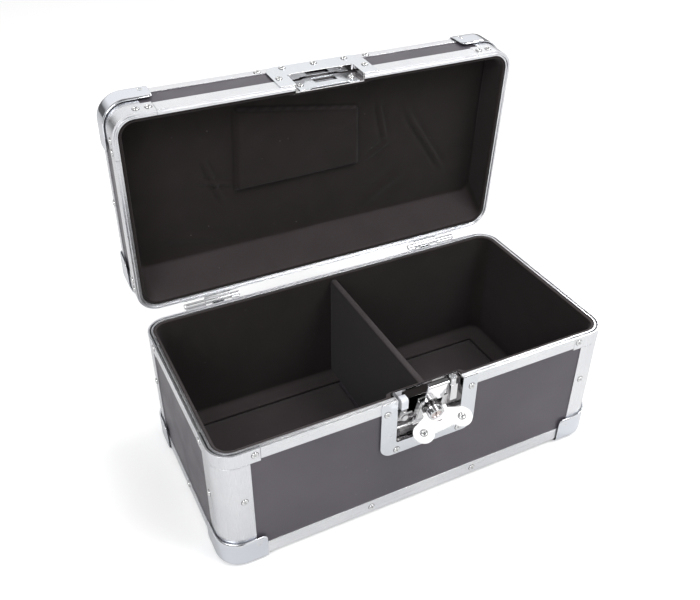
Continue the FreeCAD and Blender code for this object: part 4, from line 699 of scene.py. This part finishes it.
groove_floors = 0
for node in ("body_rim_front", "body_rim_back", "body_rim_ends", "body_rim_corners"):
    rim = metalwork(node, groove_grey)
    crest = max(v.co.z for v in rim.vertices)
    for face in rim.polygons:
        if face.normal.z > LOOKS_UP and crest - GROOVE_DEEPEST < face.center.z < crest - GROOVE_LEAST:
            face.material_index = 1
            groove_floors += 1
print("groove floors:", groove_floors)

# %% [markdown]
# The pieces from here on are built from points and faces worked out in code. A few helpers serve
# them all. One takes a node apart into its separate solids, one makes a smooth mesh, one is the soft
# step that every bend and swell uses, and one is slow noise that the same place always gets again.

# %% Helpers for built pieces


def islands(node):
    """The corner points of each separate solid of a node."""
    work = bmesh.new()
    work.from_mesh(frame["nodes"][node].data)
    bmesh.ops.remove_doubles(work, verts=work.verts, dist=WELD)
    work.verts.index_update()
    seen = set()
    found = []
    for first in work.verts:
        if first.index in seen:
            continue
        seen.add(first.index)
        waiting, group = [first], []
        while waiting:
            vert = waiting.pop()
            group.append(vert.co.copy())
            for edge in vert.link_edges:
                other = edge.other_vert(vert)
                if other.index not in seen:
                    seen.add(other.index)
                    waiting.append(other)
        found.append(np.array(group))
    work.free()
    return found


def smooth_mesh(name, points, faces):
    """A mesh with outward normals and smooth shading."""
    work = bmesh.new()
    verts = [work.verts.new(p) for p in points]
    for face in faces:
        work.faces.new([verts[i] for i in face])
    bmesh.ops.recalc_face_normals(work, faces=work.faces)
    mesh = bpy.data.meshes.new(name)
    work.to_mesh(mesh)
    work.free()
    mesh.shade_smooth()
    return mesh


def ease(start, end, value):
    """Zero up to start, one from end on, and a soft step between them."""
    t = min(max((value - start) / (end - start), 0.0), 1.0)
    return t * t * (3 - 2 * t)


def slack(x, y, z, scale, seed):
    """Slow noise between about minus one and one."""
    return noise.noise(Vector((x * scale + seed, y * scale - seed, z * scale)))


print("solids in body_rivets:", len(islands("body_rivets")))

# %% [markdown]
# A tubular rivet is a turned shape: a low dome with a dimple where the set closed it, and a dark
# line where the head meets the sheet, which is painted shade with some dirt. The solids of the rivet
# nodes give the places and directions, and one profile is turned on each of them. Its values are
# shares of the head's radius.

# %% Rivet profile
RIVET_PROFILE_SHARES = (
    (1.13, 0.0), (1.12, 0.05), (1.005, 0.06), (1.0, 0.14), (0.95, 0.27), (0.82, 0.37),
    (0.64, 0.41), (0.52, 0.385), (0.45, 0.26), (0.36, 0.19), (0.0, 0.17))
RIVET_RINGS = len(RIVET_PROFILE_SHARES) - 1
SEAT_SHADE_ROWS = 2
RIVET_SIDES = 24


def head_seat(solid):
    """Foot, direction and radius of a head, whose wider ring is the foot."""
    middle = solid.mean(axis=0)
    axis = np.linalg.svd(solid - middle)[2][2]
    along = (solid - middle) @ axis
    reach = np.linalg.norm((solid - middle) - np.outer(along, axis), axis=1)
    low, high = along < 0, along >= 0
    if reach[low].max() < reach[high].max():
        axis, along, low = -axis, -along, high
    return Vector(middle + axis * along[low].mean()), Vector(axis), reach[low].max()


def turned_points(seat, outward, size):
    """The rivet profile turned on a head's foot, ring by ring."""
    side = outward.orthogonal().normalized()
    other = outward.cross(side)
    points = []
    for radius, rise in RIVET_PROFILE_SHARES[:-1]:
        for k in range(RIVET_SIDES):
            turn = 2 * math.pi * k / RIVET_SIDES
            spoke = side * math.cos(turn) + other * math.sin(turn)
            points.append(seat + spoke * radius * size + outward * rise * size)
    points.append(seat + outward * RIVET_PROFILE_SHARES[-1][1] * size)
    return points


def turned_faces(first):
    """Faces of one head from its first point on, each with its row in the profile."""
    faces = []
    for row in range(RIVET_RINGS - 1):
        start = first + row * RIVET_SIDES
        for k in range(RIVET_SIDES):
            a, b = start + k, start + (k + 1) % RIVET_SIDES
            faces.append(((a, b, b + RIVET_SIDES, a + RIVET_SIDES), row))
    last = first + (RIVET_RINGS - 1) * RIVET_SIDES
    tip = last + RIVET_SIDES
    for k in range(RIVET_SIDES):
        faces.append(((last + k, last + (k + 1) % RIVET_SIDES, tip), RIVET_RINGS))
    faces.append((tuple(first + k for k in reversed(range(RIVET_SIDES))), RIVET_RINGS))
    return faces


print("points in a head:", RIVET_RINGS * RIVET_SIDES + 1)

# %% [markdown]
# All heads of a node become one piece. The two lowest rows of each head are painted dark instead of
# plated, as shade and dirt where the head meets the sheet.

# %% Rivets and studs
# The dark line at each head's foot is painted shade with some dirt.
seat_shade_and_dirt = Finish("seat_shade_and_dirt_line", (0.035, 0.03, 0.03), 0.7, 0.0)
seat_shade_and_dirt.roughness(seat_shade_and_dirt.place(SMUDGES, "Value", Scale=90.0), 0.55, 0.8)


def turned_heads(node):
    """One piece with all the heads of a node."""
    points, faces = [], []
    for solid in islands(node):
        faces += turned_faces(len(points))
        points += turned_points(*head_seat(solid))
    mesh = smooth_mesh(node + "_turned", points, [corners for corners, row in faces])
    link_piece(node + "_heads", mesh, [node], rivet_plate)
    mesh.materials.append(seat_shade_and_dirt.material)
    mesh.polygons.foreach_set("material_index", [1 if row < SEAT_SHADE_ROWS else 0 for corners, row in faces])


RIVET_NODES = (
    "body_rivets", "lid_rivets", "latch_dish_rivets", "lid_dish_rivets", "hinge_body_rivets",
    "hinge_lid_rivets", "handle_rivets", "wing_studs")
for node in RIVET_NODES:
    turned_heads(node)
print("turned heads for", len(RIVET_NODES), "nodes")

# %% [markdown]
# The caps are pressed from sheet, so they are one smooth skin: down the wall, round a tight bend and
# under the board, with the corner of the box running through as a larger round. The skin is laid out
# as a grid that follows those three parts. Its columns stand along one wall, round the corner and
# along the other wall, and they lie closer together near an edge, so that the shading stays crisp.

# %% Cap skin
CAP_SKIN = 1.2 * MM
CAP_TOP_GAP = 0.2 * MM
CORNER_ROUND = 24 * MM + CAP_SKIN
CAP_BEND = 5.2 * MM
TAB_ROUND = 5 * MM
CUT_SHARE = 0.4
NEAR_END = (0, 0.3 * MM, 1.0 * MM, 2.2 * MM, 5 * MM)
ARM_SHARE = 0.7
UNDER_SHARES = (0.5, 0.94, 0.985, 1.0)
TURN_STEPS, WALL_STEPS, BEND_STEPS = 10, 6, 5


def cap_columns(span):
    """Columns of the grid as (part, place or turn, distance from the cap's end)."""
    arm = [span - e for e in NEAR_END] + [span - (span - CORNER_ROUND) * ARM_SHARE]
    columns = [("near wall", s, span - s) for s in arm]
    columns += [("corner", math.radians(90 * k / TURN_STEPS), None) for k in range(TURN_STEPS + 1)]
    return columns + [("far wall", s, span - s) for s in reversed(arm)]


def cap_spot(column, inset):
    """Distances of a column from both walls, at some inset from the cap's outside."""
    part, value, _ = column
    if part == "near wall":
        return value, inset
    if part == "far wall":
        return inset, value
    reach_in = CORNER_ROUND - inset
    return CORNER_ROUND - reach_in * math.sin(value), CORNER_ROUND - reach_in * math.cos(value)


print("columns in a cap:", len(cap_columns(CORNER_ROUND)))

# %% [markdown]
# A column of the grid starts at the cap's rim, where the tabs have rounded ends, runs down the wall,
# round the bend and then under the board to a straight cut across the corner.

# %% Cap columns


def cap_line(column, span, height, share):
    """Points of one column, at some share of the way round."""
    from_end = column[2]
    top = height + CAP_SKIN - CAP_TOP_GAP
    if from_end is not None and from_end < TAB_ROUND:
        top -= TAB_ROUND - math.sqrt(TAB_ROUND ** 2 - (TAB_ROUND - from_end) ** 2)
    line = []
    for k in range(WALL_STEPS + 1):
        z = CAP_BEND + (top - CAP_BEND) * (1 - k / WALL_STEPS)
        line.append((*cap_spot(column, 0), z))
    for k in range(1, BEND_STEPS + 1):
        turn = math.radians(90 * k / BEND_STEPS)
        inset = CAP_BEND * (1 - math.cos(turn))
        line.append((*cap_spot(column, inset), CAP_BEND * (1 - math.sin(turn))))
    near_end = line[-1]
    cut = span * CUT_SHARE
    goal = (span + (cut - span) * share, cut + (span - cut) * share)
    for k in UNDER_SHARES:
        line.append((near_end[0] + (goal[0] - near_end[0]) * k,
                     near_end[1] + (goal[1] - near_end[1]) * k, 0))
    return line


def cap_grid(reach, height):
    """Grid of a cap as (from one wall, from the other wall, up from the board) in metres."""
    span = reach + CAP_SKIN
    columns = cap_columns(span)
    last = len(columns) - 1
    return [cap_line(column, span, height, number / last) for number, column in enumerate(columns)]


print("points in a column:", len(cap_grid(CORNER_ROUND, CORNER_ROUND)[0]))

# %% [markdown]
# One grid serves all four corners of the body and, with its own reach, those of the lid. It is
# mirrored by the signs of the corner, and Solidify gives it the thickness of the sheet.

# %% Corner caps
BASE_CAP_REACH, BASE_CAP_HEIGHT = 45.6 * MM, 32 * MM
LID_CAP_REACH, LID_CAP_HEIGHT = 50 * MM, 27 * MM


def corner_caps(node, grid, low, high, level, upward, place):
    """Four caps in one piece, at the corners of a box and up or down from a level."""
    points, faces = [], []
    rows = len(grid[0])
    for sx, x_wall in ((-1, low.x), (1, high.x)):
        for sy, y_wall in ((-1, low.y), (1, high.y)):
            first = len(points)
            for line in grid:
                for a, b, z in line:
                    points.append(place @ Vector((x_wall - sx * a, y_wall - sy * b, level + upward * z)))
            for i in range(len(grid) - 1):
                for j in range(rows - 1):
                    k = first + i * rows + j
                    quad = (k, k + 1, k + rows + 1, k + rows)
                    faces.append(quad if sx * sy * upward > 0 else quad[::-1])
    mesh = bpy.data.meshes.new(node + "_pressed")
    mesh.from_pydata(points, [], faces)
    mesh.shade_smooth()
    piece = link_piece(node + "_pressed", mesh, [node], cap_chrome)
    skin = piece.modifiers.new("sheet", "SOLIDIFY")
    skin.thickness = CAP_SKIN
    skin.offset = -1
    skin.use_even_offset = True
    print(node, "points:", len(points))


low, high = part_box("base_corner_caps")
corner_caps("base_corner_caps", cap_grid(BASE_CAP_REACH, BASE_CAP_HEIGHT), low, high, low.z, 1,
            Matrix.Identity(4))
low, high = lid_box("lid_corner_caps")
corner_caps("lid_corner_caps", cap_grid(LID_CAP_REACH, LID_CAP_HEIGHT), low, high, high.z, -1, LID_PLACE)

# %% [markdown]
# The body lining is foam backed cloth glued round the four walls and turned in on the floor. It is
# made as one closed section carried round a rounded rectangle. The path gives the stations at which
# the section stands, and an inset moves a station inwards, where the corner gets tighter.

# %% Path round a box
CLOTH = 3.7 * MM
LEAST_ROUND = 0.8 * MM
PATH_TURN_STEPS = 8
FRONT = (0, -1)
PATH_SIDES = (
    (FRONT, 0, (1, -1), -90), ((1, 0), 1, (1, 1), 0), ((0, 1), 0, (-1, 1), 90), ((-1, 0), 1, (-1, -1), 180))
FORWARD_SIDES = (FRONT, (1, 0))


def path_round(half, radius, step, front_extra):
    """Stations round a rectangle centred on zero: each side's, then those of the corner after it."""
    stations = []
    for side, axis, corner, start in PATH_SIDES:
        end = half[axis] - radius
        count = max(2, round(2 * end / step))
        spots = {round(-end + 2 * end * k / count, 6) for k in range(1, count)}
        if side == FRONT:
            spots |= set(front_extra)
        ordered = sorted(spots, reverse=side not in FORWARD_SIDES)
        stations += [("side", side, s) for s in ordered]
        for k in range(PATH_TURN_STEPS + 1):
            stations.append(("turn", corner, math.radians(start + 90 * k / PATH_TURN_STEPS)))
    return stations


def station_spot(station, half, radius, inset):
    """Place of a station at some inset from the rectangle."""
    kind, side, value = station
    bend = max(radius - inset, LEAST_ROUND)
    hx, hy = half[0] - inset - bend, half[1] - inset - bend
    if kind == "turn":
        return side[0] * hx + bend * math.cos(value), side[1] * hy + bend * math.sin(value)
    if side[0] == 0:
        return min(max(value, -hx), hx), side[1] * (half[1] - inset)
    return side[0] * (half[0] - inset), min(max(value, -hy), hy)


print("sides in the path:", len(PATH_SIDES))

# %% [markdown]
# The latch dish stands through the front wall, so the cloth swells over it there. The section's rows
# lie closer together where that swell begins, at the crown on top and where the cloth turns in.

# %% Section of the body lining
TURN_IN = CLOTH + 24 * MM
FLOOR_RISE = 4 * MM
BODY_ROUND = 18.1 * MM
STATION_STEP = 6 * MM
DISH_BACK_GAP = 2.2 * MM
SWELL_OFFSETS = (-4, -2.4, -1.6, -0.6, 0.6, 1.8, 3, 4.4, 6)
SWELL_LEVELS = (3, 1, -1, -3, -5)
WALL_HIGHEST, WALL_LOWEST, WALL_STEP = 140, 22, -8

low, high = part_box("body_lining")
cover_low, cover_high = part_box("latch_cloth_cover")
body_middle = (low + high) / 2
body_half = ((high.x - low.x) / 2, (high.y - low.y) / 2)
cover_half = cover_high.x
cover_in = cover_high.y - low.y - CLOTH
hollow_in = cover_high.y - low.y - DISH_BACK_GAP
floor_level = low.z + FLOOR_RISE
wall_levels = [high.z - 4 * MM, high.z - 9 * MM]
wall_levels += [z * MM for z in range(WALL_HIGHEST, WALL_LOWEST, WALL_STEP)]
wall_levels += [cover_low.z + d * MM for d in SWELL_LEVELS]
outer_levels = [low.z, cover_low.z - 3 * MM, cover_low.z + 1.5 * MM, cover_low.z + 3 * MM,
                high.z - 1.5 * MM]
section = [("outer", 0, z) for z in outer_levels]
section += [
    ("crown", 0.12, high.z - 0.5 * MM), ("crown", 0.5, high.z), ("crown", 0.88, high.z - 0.5 * MM),
    ("crown", 1.0, high.z - 1.6 * MM)]
section += [("inner", CLOTH, z) for z in sorted(wall_levels, reverse=True)]
section += [
    ("inner", CLOTH + 0.4 * MM, floor_level + 3 * MM), ("inner", CLOTH + 1.4 * MM, floor_level + 1 * MM),
    ("floor", CLOTH + 3.5 * MM, floor_level), ("floor", CLOTH + 9 * MM, floor_level),
    ("floor", CLOTH + 16 * MM, floor_level), ("floor", TURN_IN - 2 * MM, floor_level),
    ("floor", TURN_IN - 0.4 * MM, floor_level - 0.5 * MM), ("floor", TURN_IN, floor_level - 1.6 * MM),
    ("floor", TURN_IN, low.z)]
print("rows in the section:", len(section))

# %% [markdown]
# Each point of the lining is the section's row at a station, pushed in by the swell and moved a
# little by slow noise, which keeps the walls from looking machined.

# %% Body lining
WALL_SLACK, WALL_RIPPLE = 0.55 * MM, 0.25 * MM
FLOOR_SLACK_SHARE = 0.7


def lining_point(station, row):
    """Place of one row of the section at a station."""
    kind, inset, z = row
    front = station[0] == "side" and station[1] == FRONT
    across = abs(station_spot(station, body_half, BODY_ROUND, 0)[0])
    swell_x = 1 - ease(cover_half + 0.5 * MM, cover_half + 5 * MM, across) if front else 0
    hollow_x = 1 - ease(cover_half - DISH_BACK_GAP, cover_half - 0.8 * MM, across) if front else 0
    swell = swell_x * ease(cover_low.z - 5 * MM, cover_low.z, z) * cover_in
    hollow = hollow_x * ease(cover_low.z + 1 * MM, cover_low.z + 2.4 * MM, z) * hollow_in
    if kind == "outer":
        deep = hollow
    elif kind == "crown":
        deep = hollow + (CLOTH + swell - hollow) * inset
    else:
        deep = inset + (swell if kind == "inner" else 0)
    x, y = station_spot(station, body_half, BODY_ROUND, deep)
    if kind in ("inner", "floor") and inset < TURN_IN:
        wave = WALL_SLACK * slack(x, y, z, 14, 3.1) + WALL_RIPPLE * slack(x, y, z, 45, 7.7)
        if kind == "inner":
            x, y = station_spot(station, body_half, BODY_ROUND, deep + wave)
        else:
            z += wave * FLOOR_SLACK_SHARE
    return x + body_middle.x, y + body_middle.y, z


front_extra = [side * (cover_half + d * MM) for side in (-1, 1) for d in SWELL_OFFSETS]
stations = path_round(body_half, BODY_ROUND, STATION_STEP, front_extra)
points = [lining_point(station, row) for station in stations for row in section]
faces = []
rows = len(section)
for i in range(len(stations)):
    after = (i + 1) % len(stations)
    for j in range(rows):
        k = (j + 1) % rows
        faces.append((i * rows + j, i * rows + k, after * rows + k, after * rows + j))
lining = link_piece("wall_lining", smooth_mesh("wall_lining", points, faces),
                    ["body_lining", "latch_cloth_cover"], wall_cloth)
print("body lining:", len(points), "points")

# %% [markdown]
# The two floor pads are board shapes with a thin foam top, so each one is a grid that rises fast at
# its rim and then stays almost flat with a little slack. A second, flat grid closes it below.

# %% Floor pads
PAD_SHOULDER = 2.2 * MM
PAD_STEP = 8 * MM
PAD_CROWN = 0.6 * MM
PAD_SLACK = 0.3 * MM
PAD_NEAR_RIM = (0, 0.25 * MM, 0.8 * MM, PAD_SHOULDER)
LEAST_PAD_STEPS = 8


def pad_lines(start, end):
    """Places of grid lines, closer together near both ends."""
    count = max(LEAST_PAD_STEPS, round((end - start) / PAD_STEP))
    lines = [start + d for d in PAD_NEAR_RIM] + [end - d for d in PAD_NEAR_RIM]
    lines += [start + (end - start) * k / count for k in range(1, count)]
    return sorted(set(lines))


def pad_top(x, y, low, high):
    """Height of a pad's top."""
    inside = min(x - low.x, high.x - x, y - low.y, high.y - y)
    rise = ease(-0.4 * MM, PAD_SHOULDER, inside) ** 0.5
    top = low.z + (high.z - low.z - PAD_CROWN) * rise + PAD_CROWN * ease(0, 30 * MM, inside)
    return top + PAD_SLACK * slack(x, y, 0, 20, 2.2) * rise


def pad_faces(first, across, per):
    """Faces of the lower grid, the upper grid and the band between their borders."""
    faces = []
    many = across * per
    for i in range(across - 1):
        for j in range(per - 1):
            a = first + i * per + j
            faces.append((a, a + per, a + per + 1, a + 1))
            faces.append((a + many, a + many + 1, a + many + per + 1, a + many + per))
    ring = [(i, 0) for i in range(across)] + [(across - 1, j) for j in range(1, per)]
    ring += [(i, per - 1) for i in range(across - 2, -1, -1)] + [(0, j) for j in range(per - 2, 0, -1)]
    for number, (i, j) in enumerate(ring):
        i2, j2 = ring[(number + 1) % len(ring)]
        a, b = first + i * per + j, first + i2 * per + j2
        faces.append((a, b, b + many, a + many))
    return faces


points, faces = [], []
for solid in islands("floor_pads"):
    low, high = Vector(solid.min(axis=0)), Vector(solid.max(axis=0))
    xs, ys = pad_lines(low.x, high.x), pad_lines(low.y, high.y)
    faces += pad_faces(len(points), len(xs), len(ys))
    points += [(x, y, low.z) for x in xs for y in ys]
    points += [(x, y, pad_top(x, y, low, high)) for x in xs for y in ys]
pads = link_piece("soft_floor_pads", smooth_mesh("soft_floor_pads", points, faces), ["floor_pads"],
                  floor_cloth_painted_lit)
print("floor pads:", len(points), "points")

# %% [markdown]
# The lid's lining is one bowl: a deck of cloth over the lid board, walls down to the rim, and a back
# wall that slants. The deck carries a padded rectangle, and the loose cloth round it has a few soft
# folds. Their places are what the real lid shows, in millimetres from the middle and from the front.

# %% Folds and the padded rectangle
PAD_RISE = 6 * MM
PAD_CORNERS = ((-97.5, 127.8), (54.6, 125.9), (51.4, 53.2), (-94.2, 30.4))
FOLDS = (
    ((-142, 108.6), (-97.2, 121.5), 2.8, 1.3), ((-133.7, 76.6), (-110.3, 144.2), 3.2, 1.6),
    ((78.1, 51.9), (92.4, 108.8), 3.0, 1.4), ((111.7, 64), (178.4, 164.2), 3.4, 1.6),
    ((65.2, 125.5), (97.6, 105.9), 2.8, 1.1), ((-150, 20), (-128, 66), 6.0, 0.9),
    ((120, 150), (60, 188), 7.0, 0.8), ((-190, 170), (-120, 184), 6.0, 0.8))
FOLD_CREST_SHARE, FOLD_TROUGH_SHARE, FOLD_TROUGH_PLACE = 1.1, 0.8, 1.6
FOLD_FADE, FOLD_LEAST = 0.25, 0.15
DECK_SLACK, DECK_RIPPLE = 0.9 * MM, 0.3 * MM
FRONT_OFFSET = 5.9 * MM

lid_low, lid_high = lid_box("lid_lining")
lid_front = lid_low.y - FRONT_OFFSET


def to_segment(px, py, a, b):
    """Distance of a point from a line between two others, and how far along it is."""
    ax, ay, bx, by = a[0], a[1], b[0], b[1]
    dx, dy = bx - ax, by - ay
    t = min(max(((px - ax) * dx + (py - ay) * dy) / (dx * dx + dy * dy), 0), 1)
    return math.hypot(px - ax - dx * t, py - ay - dy * t), t


def in_pad(px, py):
    """Distance inside the padded rectangle, in millimetres."""
    distances = []
    for k in range(len(PAD_CORNERS)):
        a, b = PAD_CORNERS[k], PAD_CORNERS[(k + 1) % len(PAD_CORNERS)]
        ex, ey = b[0] - a[0], b[1] - a[1]
        distances.append(((px - a[0]) * ey - (py - a[1]) * ex) / math.hypot(ex, ey))
    return min(distances)


def deck_rise(x, y):
    """How far the cloth stands off the deck towards the inside of the lid."""
    px, py = x / MM, (y - lid_front) / MM
    inside = in_pad(px, py)
    rise = PAD_RISE * ease(-0.5, 2.6, inside)
    rise += 0.8 * MM * ease(2, 40, inside)
    tight = 1 - ease(-6, 2, inside)
    for a, b, width, height in FOLDS:
        distance, t = to_segment(px, py, a, b)
        fade = ease(0, FOLD_FADE, t) * ease(0, FOLD_FADE, 1 - t) + FOLD_LEAST
        crest = math.exp(-(distance / width) ** 2)
        trough = math.exp(-((distance - FOLD_TROUGH_PLACE * width) / width) ** 2)
        rise += FOLD_CREST_SHARE * height * MM * fade * crest * tight
        rise -= FOLD_TROUGH_SHARE * height * MM * fade * trough * tight
    loose = DECK_SLACK * slack(x, y, 0, 11, 5.5) + DECK_RIPPLE * slack(x, y, 0, 34, 1.5)
    return rise + loose * (0.4 + 0.6 * tight)


print("folds:", len(FOLDS))

# %% [markdown]
# A grid covers the deck, and its corners are pulled on to the round of the walls. The same grid
# position, with the sizes of the rim in place of those of the deck, tells where its border goes.

# %% Deck grid
LEAN = 26 * MM
DECK_DROP = 11.5 * MM
LID_CLOTH_ROUND = 14.4 * MM
NX, NY = 190, 90

x_in = lid_high.x - CLOTH
y_front, y_back = lid_low.y + CLOTH, lid_high.y - CLOTH
rim_level = lid_low.z
deck_level = lid_high.z - DECK_DROP
DECK = ((0, (y_front + y_back - LEAN) / 2), (x_in, (y_back - LEAN - y_front) / 2), LID_CLOTH_ROUND)
RIM_IN = ((0, (y_front + y_back) / 2), (x_in, (y_back - y_front) / 2), LID_CLOTH_ROUND)
RIM_OUT = (RIM_IN[0], (x_in + CLOTH, RIM_IN[1][1] + CLOTH), LID_CLOTH_ROUND + CLOTH)


def grid_spot(i, j, outline):
    """Place of a grid position in a rounded rectangle, given as middle, half sizes and radius."""
    middle, half, radius = outline
    x = middle[0] + half[0] * (2 * i / NX - 1)
    y = middle[1] + half[1] * (2 * j / NY - 1)
    dx, dy = x - middle[0], y - middle[1]
    ax, ay = abs(dx) - (half[0] - radius), abs(dy) - (half[1] - radius)
    if ax > 0 and ay > 0:
        shrink = max(ax, ay) / math.hypot(ax, ay)
        dx = math.copysign(half[0] - radius + ax * shrink, dx)
        dy = math.copysign(half[1] - radius + ay * shrink, dy)
    return middle[0] + dx, middle[1] + dy


def deck_point(i, j):
    """A point of the cloth over the lid board."""
    x, y = grid_spot(i, j, DECK)
    half = DECK[1]
    edge = min(min(i, NX - i) * 2 * half[0] / NX, min(j, NY - j) * 2 * half[1] / NY)
    calm = ease(0, 9 * MM, edge)
    sag = 1.0 * MM * (1 - ease(0, 3 * MM, edge))
    return x, y, deck_level - deck_rise(x, y) * calm - sag


print("deck grid:", NX, "by", NY, "at", round(deck_level, 4))

# %% [markdown]
# Rings of points lead from the deck's border down the walls, over the crown at the rim and up behind.
# At the front the cloth swells over the back of the lid dish, as it does in the body.

# %% Walls and rim of the lid
WALL_SHARES = (0.05, 0.12, 0.22, 0.34, 0.46, 0.58, 0.7, 0.82, 0.92, 1.0)
RIM_ROWS = ((0.12, 0.5), (0.5, 0.0), (0.88, 0.5), (1.0, 1.6), (1.0, 14.0), (1.0, 30.0))
RIM_CROWN = 1.6 * MM
LID_SLACK, LID_RIPPLE = 0.7 * MM, 0.3 * MM

lid_cover_high = lid_box("lid_latch_cloth_cover")[1]
lid_swell = lid_cover_high.y - lid_low.y - CLOTH
lid_hollow = lid_cover_high.y - lid_low.y - DISH_BACK_GAP


def near_dish(j, x, start, end):
    """One at the lid dish, fading out between two distances past its side, and zero off the front."""
    return 1 - ease(lid_cover_high.x + start, lid_cover_high.x + end, abs(x)) if j == 0 else 0


def wall_point(i, j, share):
    """A point some share of the way down the wall."""
    ax, ay = grid_spot(i, j, DECK)
    bx, by = grid_spot(i, j, RIM_IN)
    z = deck_level + (rim_level + RIM_CROWN - deck_level) * share
    x, y = ax + (bx - ax) * share, ay + (by - ay) * share
    wave = LID_SLACK * slack(x, y, z, 12, 9.1) + LID_RIPPLE * slack(x, y, z, 38, 4.4)
    wave *= ease(0, 0.3, 1 - share)
    past_cover = ease(lid_cover_high.z, lid_cover_high.z + 4 * MM, z)
    y += near_dish(j, bx, 0.5 * MM, 5 * MM) * lid_swell * (1 - past_cover)
    lean_in = Vector((RIM_IN[0][0] - x, RIM_IN[0][1] - y)).normalized() * wave
    return x + lean_in.x, y + lean_in.y, z


def rim_point(i, j, out_share, lift):
    """A point over or behind the crown at the rim."""
    bx, by = grid_spot(i, j, RIM_IN)
    ox, oy = grid_spot(i, j, RIM_OUT)
    z = rim_level + lift * MM
    x, y = bx + (ox - bx) * out_share, by + (oy - by) * out_share
    y += near_dish(j, bx, 0.5 * MM, 5 * MM) * lid_swell * (1 - out_share)
    y += near_dish(j, bx, -2.4 * MM, -0.8 * MM) * lid_hollow * out_share * (1 - ease(24 * MM, 28 * MM, z))
    return x, y, z


print("rings in the lid lining:", len(WALL_SHARES) + len(RIM_ROWS) + 1)

# %% [markdown]
# The back of the bowl is flat, as it lies on the board, so the last ring is closed by a plain grid.
# All points are then carried from lid coordinates to the open lid.

# %% Lid lining
BACK_GAP = 1.5 * MM

back_level = deck_level + BACK_GAP
border = [(i, 0) for i in range(NX)] + [(NX, j) for j in range(NY)]
border += [(i, NY) for i in range(NX, 0, -1)] + [(0, j) for j in range(NY, 0, -1)]
rings = [[wall_point(i, j, share) for i, j in border] for share in WALL_SHARES]
rings += [[rim_point(i, j, *row) for i, j in border] for row in RIM_ROWS]
rings.append([(*grid_spot(i, j, RIM_OUT), back_level) for i, j in border])


def grid_faces(number_of):
    """Faces of the whole grid, with a function that gives the number of a grid position's point."""
    faces = []
    for i in range(NX):
        for j in range(NY):
            faces.append([number_of(*spot) for spot in ((i, j), (i + 1, j), (i + 1, j + 1), (i, j + 1))])
    return faces


points = [deck_point(i, j) for i in range(NX + 1) for j in range(NY + 1)]
faces = [(a, d, c, b) for a, b, c, d in grid_faces(lambda i, j: i * (NY + 1) + j)]
previous = [i * (NY + 1) + j for i, j in border]
for ring in rings:
    numbers = range(len(points), len(points) + len(ring))
    points += ring
    for number in range(len(border)):
        after = (number + 1) % len(border)
        faces.append((previous[number], previous[after], numbers[after], numbers[number]))
    previous = numbers
back_numbers = dict(zip(border, previous))
for i in range(1, NX):
    for j in range(1, NY):
        back_numbers[(i, j)] = len(points)
        points.append((*grid_spot(i, j, DECK), back_level))
faces += grid_faces(lambda i, j: back_numbers[(i, j)])
placed = [LID_PLACE @ Vector(p) for p in points]
lid_cloth = link_piece("lid_cloth", smooth_mesh("lid_cloth", placed, faces),
                       ["lid_lining", "lid_latch_cloth_cover", "lid_padded_panel"], wall_cloth)
print("lid lining:", len(points), "points")

# %% [markdown]
# The divider is a board wrapped in cloth. A voxel remesh of its CAD shape gives an even skin, which
# smoothing turns into the soft round edges that cloth has.

# %% Divider
SKIN_VOXEL = 1.3 * MM
SOFTENING = 0.5
SOFTENING_STEPS = 3

divider_mesh = frame["nodes"]["divider"].data.copy()
divider_mesh.shade_smooth()
divider = link_piece("cloth_divider", divider_mesh, ["divider"], divider_cloth)
skin = divider.modifiers.new("skin", "REMESH")
skin.mode = "VOXEL"
skin.voxel_size = SKIN_VOXEL
skin.use_smooth_shade = True
soften = divider.modifiers.new("soften", "SMOOTH")
soften.factor = SOFTENING
soften.iterations = SOFTENING_STEPS
print("divider wrapped")

# %% [markdown]
# Boards, pins, the spring, the bail and the rubber parts already have the right shape in the frame,
# so they only take their finish.

# %% Finishes for nodes that stay as they are
KEPT_NODES = (
    (laminate.material, (
        "front_panel", "back_panel", "end_panels", "base_panel", "lid_top_panel", "lid_front_panel",
        "lid_back_panel", "lid_end_panels")),
    (pin_steel, ("hinge_pins", "latch_pivot_pin", "spring_stud", "return_spring", "foot_screws")),
    (latch_plate, ("handle_bail",)),
    (rubber.material, ("rubber_feet", "handle_grip")))

for finish, nodes in KEPT_NODES:
    for node in nodes:
        for material_slot in frame["nodes"][node].material_slots:
            material_slot.material = finish
print("kept nodes:", sum(len(nodes) for finish, nodes in KEPT_NODES))
